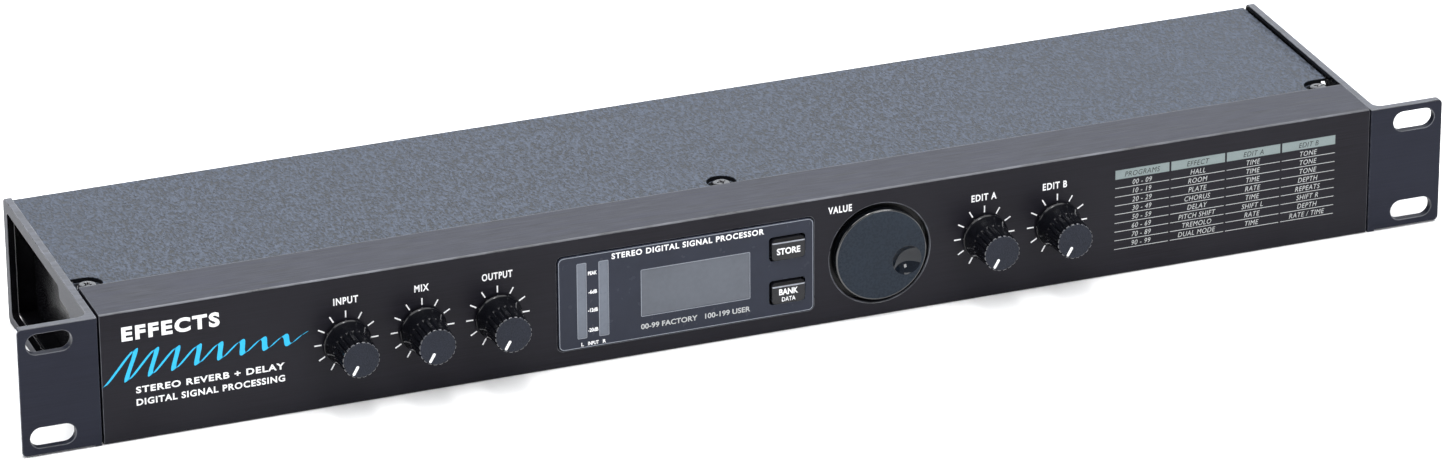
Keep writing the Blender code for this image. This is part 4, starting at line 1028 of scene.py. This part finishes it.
def make_wheel():
    radius, front, back, hub = WHEEL.radius, WHEEL.front, WHEEL_DISC_BACK, WHEEL_HUB_RADIUS
    rim = arc_points((radius - WHEEL_RIM, front + WHEEL_RIM), WHEEL_RIM, 270, 360, 10)
    profile = [(0, front), *rim, (radius, back), (hub, back), (hub, WHEEL.back), (0, WHEEL.back)]
    share = [math.sin(math.radians(10 * i)) for i in range(9, 0, -1)]
    bowl = [(0, front - PAST / 2), (FINGER_DIMPLE_RADIUS, front - PAST / 2)]
    bowl += [(FINGER_DIMPLE_RADIUS * s, front + FINGER_DIMPLE_DEPTH * (1 - s * s)) for s in share]
    bowl.append((0, front + FINGER_DIMPLE_DEPTH))
    x, z = FINGER_DIMPLE
    solid = combined(turned_solid(profile, 160), cuts=[moved(turned_solid(bowl, 96), x=x, z=z)])

    def part_of_wheel(face):
        """1 for the finger dimple and 2 for the rounded rim."""
        centre = face.calc_center_median()
        if math.hypot(centre.x, centre.z) > radius - WHEEL_RIM:
            return 2
        near = math.hypot(centre.x - x, centre.z - z) < FINGER_DIMPLE_RADIUS * 0.999
        return int(near and centre.y > front + 0.002 * MM and centre.y < back - 0.1 * MM)

    centred(marked(solid, part_of_wheel), WHEEL)
    finishes = [WHEEL_PLASTIC, DIMPLE_PLASTIC, WHEEL_RIM_PLASTIC]
    body = "value_wheel"
    piece("wheel_disc", solid, finishes, "wheel_plastic", [body], body=body, bevel=0.10 * MM)
    outer, wall, near = WHEEL_HOLE_RADIUS + 0.8 * MM, 0.6 * MM, PANEL_SHEET + 0.02 * MM
    floor, under = WELL_FLOOR, WELL_FLOOR + 0.8 * MM
    cup = [
        (WELL_BORE, under),
        (outer, under),
        (outer, near),
        (outer - wall, near),
        (outer - wall, floor),
        (WELL_BORE, floor),
    ]
    piece("wheel_well", centred(ring_solid(cup, 96), WHEEL), [WELL_BLACK], "wheel_plastic")


# ---------------------------------------------------------------- display and buttons
def make_display():
    levels = [
        (grown(LENS, -LENS_EDGE, LENS_CORNER - LENS_EDGE), LENS.front),
        (grown(LENS, 0.0, LENS_CORNER), LENS.front + LENS_EDGE),
        (grown(LENS, 0.0, LENS_CORNER), LENS.back),
    ]
    cuts = []
    for window in (LCD, *METERS):
        cuts.append(prism_solid(grown(window, -0.1 * MM, 0.35 * MM), LENS.front - PAST / 2, RECESS_FLOOR))
    cuts += [prism_solid(well_outline(button), -HOLE_REACH, HOLE_REACH) for button in BUTTONS.values()]
    lens = combined(loft_solid(levels), cuts=cuts)
    piece("lens", lens, [LENS_TINT], "lens_tint", ["display_lens"], bevel=0.07 * MM)
    for name, window, finish, slot in (
        ("display_window", LCD, LCD_GREY, "lcd_grey"),
        ("left_meter_window", METERS[0], METER_GREY, "meter_grey"),
        ("right_meter_window", METERS[1], METER_GREY, "meter_grey"),
    ):
        outline = grown(window, -0.14 * MM, 0.3 * MM)
        glass = prism_solid(outline, LENS.front + 0.12 * MM, RECESS_FLOOR + 0.1 * MM)
        piece(name, glass, [finish], slot, bevel=0.05 * MM)


def make_button(name, span):
    """A push button cap with a rounded front edge, a sloping brow and a flange behind the panel."""
    front, levels = span.front, []
    for step in range(9):
        angle = math.radians(90 - 90 * step / 8)
        inset = BUTTON_EDGE * (1 - math.cos(angle))
        outline = centred_outline(span, BUTTON_CAP, BUTTON_CORNER - inset * 0.8, inset)
        levels.append((outline, front + BUTTON_EDGE * (1 - math.sin(angle))))
    outline = levels[-1][0]
    levels.append((outline, BUTTON_FLANGE_FRONT + 0.1 * MM))
    flange = prism_solid(grown(span, 0.0, 1.0 * MM), BUTTON_FLANGE_FRONT, span.back)
    crest = max(z for _, z in outline) - BUTTON_BROW
    before, above = front - PAST / 2, crest + 2 * BUTTON_BROW
    section = [
        (before, crest - CREST_HEIGHT),
        (front, crest - CREST_HEIGHT),
        (front + CREST_DEPTH, crest),
        (front + BROW_DEPTH, above),
        (before, above),
    ]
    brow = placed(prism_solid(section, span.left - PAST / 2, span.right + PAST / 2), along_x)

    def part_of_button(face):
        """1 for the glossy crest, painted light grey as a highlight, and 2 for the slope above it, painted
        black as shade.
        """
        centre = face.calc_center_median()
        if centre.y - FACE_Y > front + 0.7 * MM or face.normal.y > -0.5 or face.normal.z < 0.05:
            return 0
        if crest - CREST_HEIGHT < centre.z < crest and abs(face.normal.x) < 0.1:
            return 1
        return 2 if centre.z > crest else 0

    body = f"{name}_button"
    solid = combined(loft_solid(levels), [flange], [brow])
    finishes = [BUTTON_PLASTIC, BUTTON_CREST_HIGHLIGHT, CHASSIS_BLACK_AND_SHADE]
    piece(f"{name}_button_cap", solid, finishes, "button_plastic", [body], body=body, pick=part_of_button)


# ---------------------------------------------------------------- rear connectors
def make_jack(name):
    span, nut, radius = Span(f"{name}_jack"), Span(f"{name}_jack_nut"), JACK_BUSH_RADIUS
    wall, end, y = REAR.front - REAR_LAP, span.back, REAR.back
    block = prism_solid(grown(span, 0.0, SOCKET_CORNER, 3), span.front, wall)
    groove = radius - 0.25 * MM
    profile = [(0, wall - PAST), (groove, wall - PAST)]
    while y < end - 0.8 * MM:
        profile += [(groove, y + 0.05 * MM), (radius, y + 0.25 * MM), (groove, y + 0.45 * MM)]
        y += JACK_THREAD
    profile += [(radius - 0.3 * MM, end - 0.25 * MM), (radius - 0.55 * MM, end), (0, end)]
    bore = [
        (0, end - JACK_BORE_DEPTH),
        (JACK_BORE_RADIUS, end - JACK_BORE_DEPTH),
        (JACK_BORE_RADIUS, end - 0.45 * MM),
        (JACK_BORE_RADIUS + 0.5 * MM, end + 0.05 * MM),
        (0, end + PAST / 2),
    ]
    bush, bore = (centred(turned_solid(points, 64), span) for points in (profile, bore))
    piece(f"{name}_jack_body", combined(block, [bush], [bore]), [JACK_BLACK], "jack_black", [f"{name}_jack"])
    crown = [
        (0, nut.front - 0.1 * MM),
        (7.0 * MM, nut.front - 0.1 * MM),
        (7.0 * MM, nut.back - 0.75 * MM),
        (5.5 * MM, nut.back),
        (0, nut.back),
    ]
    hexagon = rod_solid(NUT_HEX_RADIUS, nut.front, nut.back, 6)
    chamfered = boolean(hexagon, [(turned_solid(crown, 64), "INTERSECT")])
    through = rod_solid(radius + 0.25 * MM, nut.front - PAST / 2, nut.back + PAST / 2, 64)
    solid = centred(combined(chamfered, cuts=[through]), span)
    piece(f"{name}_nut", solid, [NUT_STEEL], "nut_steel", [f"{name}_jack_nut"], bevel=0.08 * MM)


def socket_body(span, size, nose_radius):
    """A socket's block behind the rear wall and its round nose through the wall."""
    wall, end = REAR.front - REAR_LAP, span.back
    block = prism_solid(centred_outline(span, size, SOCKET_CORNER, steps=3), span.front, wall)
    profile = [
        (0, wall - PAST),
        (nose_radius, wall - PAST),
        (nose_radius, end - 0.3 * MM),
        (nose_radius - 0.3 * MM, end),
        (0, end),
    ]
    return block, centred(turned_solid(profile, 72), span)


def make_round_sockets():
    for name in ("midi_in", "midi_out"):
        span = Span(f"{name}_socket")
        block, nose = socket_body(span, MIDI_BLOCK, MIDI_NOSE_RADIUS)
        past, groove_floor, pin_floor = span.back + PAST / 2, span.back - 7 * MM, span.back - 5 * MM
        inner, outer = MIDI_GROOVE
        groove = [(inner, groove_floor), (outer, groove_floor), (outer, past), (inner, past)]
        cuts = [centred(ring_solid(groove, 72), span)]
        for degrees in (0, 45, 90, 135, 180):
            angle = math.radians(degrees)
            x, z = span.x + MIDI_PIN_CIRCLE * math.cos(angle), span.z + MIDI_PIN_CIRCLE * math.sin(angle)
            cuts.append(moved(rod_solid(0.85 * MM, pin_floor, past, 20), x=x, z=z))
        key = box_solid((-1.1 * MM, pin_floor, -6.1 * MM), (1.1 * MM, past, -4.9 * MM))
        cuts.append(centred(key, span))
        piece(f"{name}_shell", combined(block, [nose], cuts), [JACK_BLACK], "jack_black", [f"{name}_socket"])
    span = Span("power_socket")
    block, nose = socket_body(span, POWER_BLOCK, POWER_NOSE_RADIUS)
    well = centred(rod_solid(3.1 * MM, span.back - 9.5 * MM, span.back + PAST / 2, 48), span)
    piece("power_shell", combined(block, [nose], [well]), [JACK_BLACK], "jack_black", ["power_socket"])
    tip = span.back - 0.8 * MM
    pin = [(0, -9.2), (1.0, -9.2), (1.0, -0.5), (0.8, -0.15), (0.4, 0), (0, 0)]
    solid = centred(turned_solid([(r * MM, tip + y * MM) for r, y in pin], 32), span)
    piece("power_pin", solid, [BRASS], "shaft_steel")


# ---------------------------------------------------------------- printing
INK = 0.03 * MM
CAP_HEIGHT = 0.729
LABEL_HEIGHT = 2.55 * MM
CONDENSED = {"bold": 0.026, "spacing": 1.16}
SMALL_PRINT = {"bold": 0.028, "spacing": 1.14}
LABELS = (
    ("INPUT", -135.85, 34.65, 8.1),
    ("MIX", -111.0, 34.65, 4.8),
    ("OUTPUT", -86.1, 34.65, 10.1),
    ("VALUE", 29.3, 38.2, 8.1),
    ("EDIT A", 78.9, 34.25, 8.7),
    ("EDIT B", 103.6, 34.25, 8.5),
)
METER_SCALE = (("PEAK", 31.7, 3.0), ("-6dB", 25.2, 2.9), ("-12dB", 18.9, 3.3), ("-20dB", 12.0, 3.4))
REAR_LABELS = (
    ("INPUT L", "input_left_jack"),
    ("INPUT R", "input_right_jack"),
    ("OUTPUT L", "output_left_jack"),
    ("OUTPUT R", "output_right_jack"),
    ("BYPASS", "bypass_jack"),
    ("CONTROL", "control_jack"),
    ("DATA IN", "midi_in_socket"),
    ("DATA OUT", "midi_out_socket"),
    ("POWER", "power_socket"),
)
WAVE_START = (-211.0 * MM, 25.6 * MM)
WAVE_LENGTH = 61 * MM
WAVE_HEIGHT = 5.7 * MM
WAVE_CYCLES = 8.5
WAVE_DECAY = 1.35
WAVE_LEAN = 0.62
WAVE_STEPS = 340
WAVE_PEN = (0.85 * MM, 0.45 * MM)


def lettering(words, height, width=None, bold=0.0, lean=0.0, spacing=1.0):
    """Solid letters in the X-Z plane from y = 0 to -INK, left end and foot at the origin."""
    curve = bpy.data.curves.new("lettering", "FONT")
    curve.body = words
    curve.size = 1.0
    curve.resolution_u = 4
    curve.offset = bold
    curve.shear = lean
    curve.space_character = spacing
    curve.extrude = 0.5
    holder = bpy.data.objects.new("lettering", curve)
    bpy.context.scene.collection.objects.link(holder)
    bm = evaluated(holder)
    bpy.data.objects.remove(holder, do_unlink=True)
    bpy.data.curves.remove(curve)
    left, right = min(v.co.x for v in bm.verts), max(v.co.x for v in bm.verts)
    cap = CAP_HEIGHT + 2 * bold
    scale_z = height / cap
    scale_x = width / (right - left) if width else scale_z
    for vert in bm.verts:
        x, y, z = vert.co
        vert.co = ((x - left) * scale_x, -INK * (z + 0.5) + 0.5 * INK, (y + bold) * scale_z)
    bmesh.ops.recalc_face_normals(bm, faces=bm.faces)
    bmesh.ops.remove_doubles(bm, verts=bm.verts, dist=1e-7)
    return bm


class Print:
    """Collects flat printing of one ink on one body, and makes one piece from it."""

    def __init__(self, name, ink, slot, body="chassis", surface=0.0):
        self.name, self.ink, self.slot, self.body, self.surface = name, ink, slot, body, surface
        self.parts = []

    def add(self, bm, x=0.0, z=0.0):
        self.parts.append(moved(bm, x=x, z=z))

    def words(self, words, x, z, height, width=None, anchor="left", narrow=1.0, **style):
        """Words whose foot is at z; x is their left end, middle or right end."""
        bm = lettering(words, height, width, **style)
        bmesh.ops.scale(bm, vec=(narrow, 1.0, 1.0), verts=bm.verts)
        wide = max(v.co.x for v in bm.verts)
        self.add(bm, x - {"left": 0.0, "middle": wide / 2, "right": wide}[anchor], z)

    def outline(self, outline):
        self.add(prism_solid(outline, -INK, INK / 2))

    def bar(self, left, right, bottom, top):
        self.add(box_solid((left, -INK, bottom), (right, INK / 2, top)))

    def finish(self):
        whole = moved(gathered(*self.parts), y=self.surface)
        piece(self.name, whole, [self.ink], self.slot, body=self.body)


def make_tick_marks(printing):
    for knob in KNOBS.values():
        for step in range(11):
            mark = box_solid((-0.22 * MM, -INK, 8.15 * MM), (0.22 * MM, INK / 2, 10.5 * MM))
            printing.add(turned(mark, -150 + 30 * step, "Y"), knob.x, knob.z)


def make_control_labels(printing):
    for words, x, z, width in LABELS:
        printing.words(words, x * MM, z * MM, LABEL_HEIGHT, width * MM, "middle", **CONDENSED)


def make_name_block():
    """A plain title, a dying wave and two lines of small print at the left end."""
    white = Print("title_print", INK_WHITE, "panel_paint")
    white.words("EFFECTS", -208.2 * MM, 34.2 * MM, 5.1 * MM, 31.5 * MM, bold=0.045, spacing=1.22)
    for words, z in (("STEREO REVERB + DELAY", 15.9), ("DIGITAL SIGNAL PROCESSING", 11.7)):
        white.words(words, -204.3 * MM, z * MM, 2.35 * MM, 48 * MM, **SMALL_PRINT)
    white.finish()
    wave = Print("echo_wave_print", INK_CYAN, "panel_paint")
    for stroke in pen_stroke(echo_wave(), WAVE_PEN):
        wave.outline(stroke)
    wave.finish()


def echo_wave():
    """The centre line of a leaning wave that dies away to the right, as an echo does."""
    points, (x, z) = [], WAVE_START
    for i in range(WAVE_STEPS + 1):
        t = i / WAVE_STEPS
        swing = WAVE_HEIGHT * math.exp(-WAVE_DECAY * t) * math.sin(FULL_TURN * WAVE_CYCLES * t - math.pi / 2)
        points.append((x + WAVE_LENGTH * t + WAVE_LEAN * swing, z + swing))
    return points


def pen_stroke(points, pen):
    """The outlines that a slanted flat pen leaves between one point and the next."""
    u, v = pen
    for (x0, z0), (x1, z1) in zip(points, points[1:]):
        outline = [(x0 - u, z0 - v), (x0 + u, z0 + v), (x1 + u, z1 + v), (x1 - u, z1 - v)]
        area = sum(a[0] * b[1] - b[0] * a[1] for a, b in zip(outline, outline[1:] + outline[:1]))
        yield outline if area > 0 else outline[::-1]


TABLE_LEFT = 124.8 * MM
COLUMN_PITCH = 19.7 * MM
COLUMN_WIDTH = 19.0 * MM
HEADER_BOTTOM = 33.9 * MM
HEADER_TOP = 37.1 * MM
ROW_PITCH = 3.09 * MM
TABLE_HEADINGS = ("PROGRAMS", "EFFECT", "EDIT A", "EDIT B")
TABLE_ROWS = (
    ("00 - 09", "HALL", "TIME", "TONE"),
    ("10 - 19", "ROOM", "TIME", "TONE"),
    ("20 - 29", "PLATE", "TIME", "TONE"),
    ("30 - 49", "CHORUS", "RATE", "DEPTH"),
    ("50 - 59", "DELAY", "TIME", "REPEATS"),
    ("60 - 69", "PITCH SHIFT", "SHIFT L", "SHIFT R"),
    ("70 - 89", "TREMOLO", "RATE", "DEPTH"),
    ("90 - 99", "DUAL MODE", "TIME", "RATE / TIME"),
)
TABLE_STYLE = {"anchor": "middle", "narrow": 0.88, "lean": 0.22, "spacing": 1.10}
TABLE_FOOT = 0.62 * MM
HEADING_HEIGHT = 1.85 * MM
CELL_HEIGHT = 1.78 * MM
RULE_HALF = 0.1 * MM


def make_table():
    header = Print("table_header_print", INK_HEADER, "panel_paint")
    dark = Print("table_heading_words", INK_DARK, "panel_paint", surface=-INK)
    grey = Print("table_print", INK_GREY, "panel_paint")
    for column, heading in enumerate(TABLE_HEADINGS):
        left = TABLE_LEFT + column * COLUMN_PITCH
        header.bar(left, left + COLUMN_WIDTH, HEADER_BOTTOM, HEADER_TOP)
        middle = left + COLUMN_WIDTH / 2
        dark.words(heading, middle, HEADER_BOTTOM + TABLE_FOOT, HEADING_HEIGHT, **TABLE_STYLE)
        for row, cells in enumerate(TABLE_ROWS):
            rule = HEADER_BOTTOM - (row + 1) * ROW_PITCH
            grey.bar(left, left + COLUMN_WIDTH, rule - RULE_HALF, rule + RULE_HALF)
            grey.words(cells[column], middle, rule + TABLE_FOOT, CELL_HEIGHT, **TABLE_STYLE)
    header.finish()
    dark.finish()
    grey.finish()


def rounded_frame(span, margin, radius, width):
    """A thin flat frame round a span, its outer side margin outside it."""
    outer = grown(span, margin, radius)
    inner = grown(span, margin - width, max(radius - width, 0.05 * MM))
    bm = bmesh.new()
    loops = [
        [bm.verts.new((u, y, v)) for u, v in outline]
        for outline, y in ((outer, -INK), (inner, -INK), (inner, INK / 2), (outer, INK / 2))
    ]
    count = len(outer)
    for near, far in zip(loops, loops[1:] + loops[:1]):
        for i in range(count):
            j = (i + 1) % count
            bm.faces.new((near[i], near[j], far[j], far[i]))
    return outward(bm)


def make_lens_print():
    white = Print("lens_print", INK_WHITE, "lens_tint", surface=LENS.front)
    title = "STEREO DIGITAL SIGNAL PROCESSOR"
    white.words(title, -48.2 * MM, 35.25 * MM, 2.1 * MM, 51.4 * MM, bold=0.03, spacing=1.16)
    middle = (METERS[0].right + METERS[1].left) / 2
    for words, z, width in METER_SCALE:
        white.words(words, middle, (z - 0.7) * MM, 1.4 * MM, width * MM, "middle", bold=0.035)
    for words, x, width in (("L", METERS[0].x, None), ("INPUT", middle, 3.6 * MM), ("R", METERS[1].x, None)):
        white.words(words, x, 6.75 * MM, 1.35 * MM, width, "middle", bold=0.03)
    white.finish()
    grey = Print("lens_small_print", INK_GREY, "lens_tint", surface=LENS.front)
    grey.words("00-99 FACTORY   100-199 USER", -38.6 * MM, 9.2 * MM, 1.9 * MM, 37 * MM, bold=0.02)
    grey.finish()
    frame_ink_and_highlight = Print("lens_frames_and_edge_highlight", INK_OUTLINE_AND_HIGHLIGHT, "lens_tint", surface=LENS.front)
    for span in (LCD, *METERS):
        frame_ink_and_highlight.add(rounded_frame(span, 0.02 * MM, 0.4 * MM, 0.2 * MM))
    # Painted highlight: a thin light ring just inside the lens edge, for the light line along its bevel.
    frame_ink_and_highlight.add(rounded_frame(LENS, -0.22 * MM, LENS_CORNER - 0.22 * MM, 0.2 * MM))
    frame_ink_and_highlight.finish()


def make_button_print():
    for name, lines in (
        ("store", (("STORE", 27.75, 2.35, 8.0, 0.028),)),
        ("bank", (("BANK", 13.6, 2.25, 6.5, 0.028), ("DATA", 11.3, 1.6, 4.6, 0.01))),
    ):
        span = BUTTONS[name]
        ink = Print(f"{name}_button_print", INK_WHITE, "button_plastic", f"{name}_button", span.front)
        for words, z, height, width, bold in lines:
            ink.words(words, span.x, z * MM, height * MM, width * MM, "middle", bold=bold)
        ink.finish()


def make_rear_print():
    """Plain labels above the rear jacks, readable from behind."""
    white = Print("rear_print", INK_WHITE, "chassis_black")
    for words, node in REAR_LABELS:
        letters = lettering(words, 1.9 * MM, bold=0.01)
        moved(letters, x=-max(v.co.x for v in letters.verts) / 2)
        white.add(moved(turned(letters, 180, "Z"), y=REAR.back), Span(node).x, 30.6 * MM)
    white.finish()


def make_printing():
    controls = Print("control_print", INK_WHITE, "panel_paint")
    make_tick_marks(controls)
    make_control_labels(controls)
    controls.finish()
    make_name_block()
    make_table()
    make_lens_print()
    make_button_print()
    make_rear_print()


# ---------------------------------------------------------------- inner CAD nodes
def dress_inner_nodes():
    finishes = {
        "pot_shaft": SHAFT_STEEL,
        "encoder_shaft": SHAFT_STEEL,
        "_pot": POT_BLUE,
        "encoder_body": POT_BLUE,
        "board": BOARD_GREEN,
        "dsp_chip": CHIP_BLACK,
        "cover_rail": CHASSIS_BLACK_AND_SHADE,
        "lcd_module": LCD_GREY,
        "level_meter": METER_GREY,
    }
    for node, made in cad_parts.items():
        for ending, finish in finishes.items():
            if node.endswith(ending):
                for slot in made.material_slots:
                    slot.material = finish
                break


# ---------------------------------------------------------------- camera, light and floor
CAMERA_AZIMUTH, CAMERA_ELEVATION, CAMERA_ROLL = (math.radians(d) for d in (-20.712, 24.475, -0.365))
CAMERA_AIM = Vector((11.82 * MM, FACE_Y + 59.49 * MM, 10.10 * MM))
CAMERA_DISTANCE = 2.30875
CAMERA_LENS = 176.61
CAMERA_SENSOR = 36.0
WORLD_COLOUR = (0.90, 0.94, 1.0, 1.0)
WORLD_STRENGTH = 0.32
WHITE = (1.0, 1.0, 1.0)
LIGHTS = (
    ("top_light", (0.0, -0.15, 1.6), (0, 0.0, 0), (2.6, 2.2), 60.0, WHITE),
    ("overhead_lamp", (-0.12, 0.0, 1.6), (0, 0.0, 0), (0.30, 0.22), 6.5, WHITE),
    ("rear_light", (0.65, 1.55, 0.85), (0, 0.05, 0.03), (2.0, 1.1), 11.0, (0.93, 0.96, 1.0)),
    ("left_light", (-1.5, 0.1, 0.6), (0, 0, 0.02), (0.9, 0.9), 9.0, WHITE),
    ("key_light", (0.62, -1.45, 0.62), (0, 0, 0.02), (0.44, 0.40), 7.5, WHITE),
)
FLOOR_HALF = 4.0


def make_camera():
    level = math.cos(CAMERA_ELEVATION)
    back = Vector((
        math.sin(CAMERA_AZIMUTH) * level,
        -math.cos(CAMERA_AZIMUTH) * level,
        math.sin(CAMERA_ELEVATION),
    ))
    level_right = (-back).cross(Vector((0, 0, 1))).normalized()
    level_up = level_right.cross(-back)
    right = math.cos(CAMERA_ROLL) * level_right + math.sin(CAMERA_ROLL) * level_up
    up = math.cos(CAMERA_ROLL) * level_up - math.sin(CAMERA_ROLL) * level_right
    data = bpy.data.cameras.new("camera")
    data.sensor_width = CAMERA_SENSOR
    data.lens = CAMERA_LENS
    data.clip_start = 0.1
    data.clip_end = 50.0
    made = bpy.data.objects.new("camera", data)
    place = Matrix.Translation(CAMERA_AIM + back * CAMERA_DISTANCE)
    made.matrix_world = place @ Matrix((right, up, back)).transposed().to_4x4()
    bpy.context.scene.collection.objects.link(made)
    bpy.context.scene.camera = made


def make_light(name, place, aim, size, power, colour):
    data = bpy.data.lights.new(name, "AREA")
    data.shape = "RECTANGLE"
    data.size, data.size_y = size
    data.energy = power
    data.color = colour
    made = bpy.data.objects.new(name, data)
    made.location = place
    made.rotation_euler = (Vector(aim) - Vector(place)).to_track_quat("-Z", "Y").to_euler()
    made.visible_camera = False
    bpy.context.scene.collection.objects.link(made)


def make_studio():
    scene = bpy.context.scene
    scene.view_settings.view_transform = "Standard"
    world = bpy.data.worlds.new("studio_world")
    world.use_nodes = True
    background = world.node_tree.nodes["Background"]
    background.inputs["Color"].default_value = WORLD_COLOUR
    background.inputs["Strength"].default_value = WORLD_STRENGTH
    scene.world = world
    for light in LIGHTS:
        make_light(*light)
    bm = bmesh.new()
    bmesh.ops.create_grid(bm, x_segments=8, y_segments=8, size=FLOOR_HALF)
    mesh = bpy.data.meshes.new("studio_floor")
    bm.to_mesh(mesh)
    bm.free()
    paper = Finish("studio_paper", 0.9, specular=0.1)
    paper.colour((0.94, 0.94, 0.94), paper.noise(3), 0.01)
    mesh.materials.append(paper.material)
    floor = bpy.data.objects.new("studio_floor", mesh)
    scene.collection.objects.link(floor)


# ---------------------------------------------------------------- build
make_camera()
make_studio()
make_front_panel()
make_bracket("left", -1)
make_bracket("right", 1)
make_cover()
make_tray()
make_screws()
for knob_name, knob_span in KNOBS.items():
    make_knob(knob_name, knob_span)
make_wheel()
make_display()
for button_name, button_span in BUTTONS.items():
    make_button(button_name, button_span)
for jack_name in JACKS:
    make_jack(jack_name)
make_round_sockets()
make_printing()
dress_inner_nodes()

bpy.context.view_layer.update()
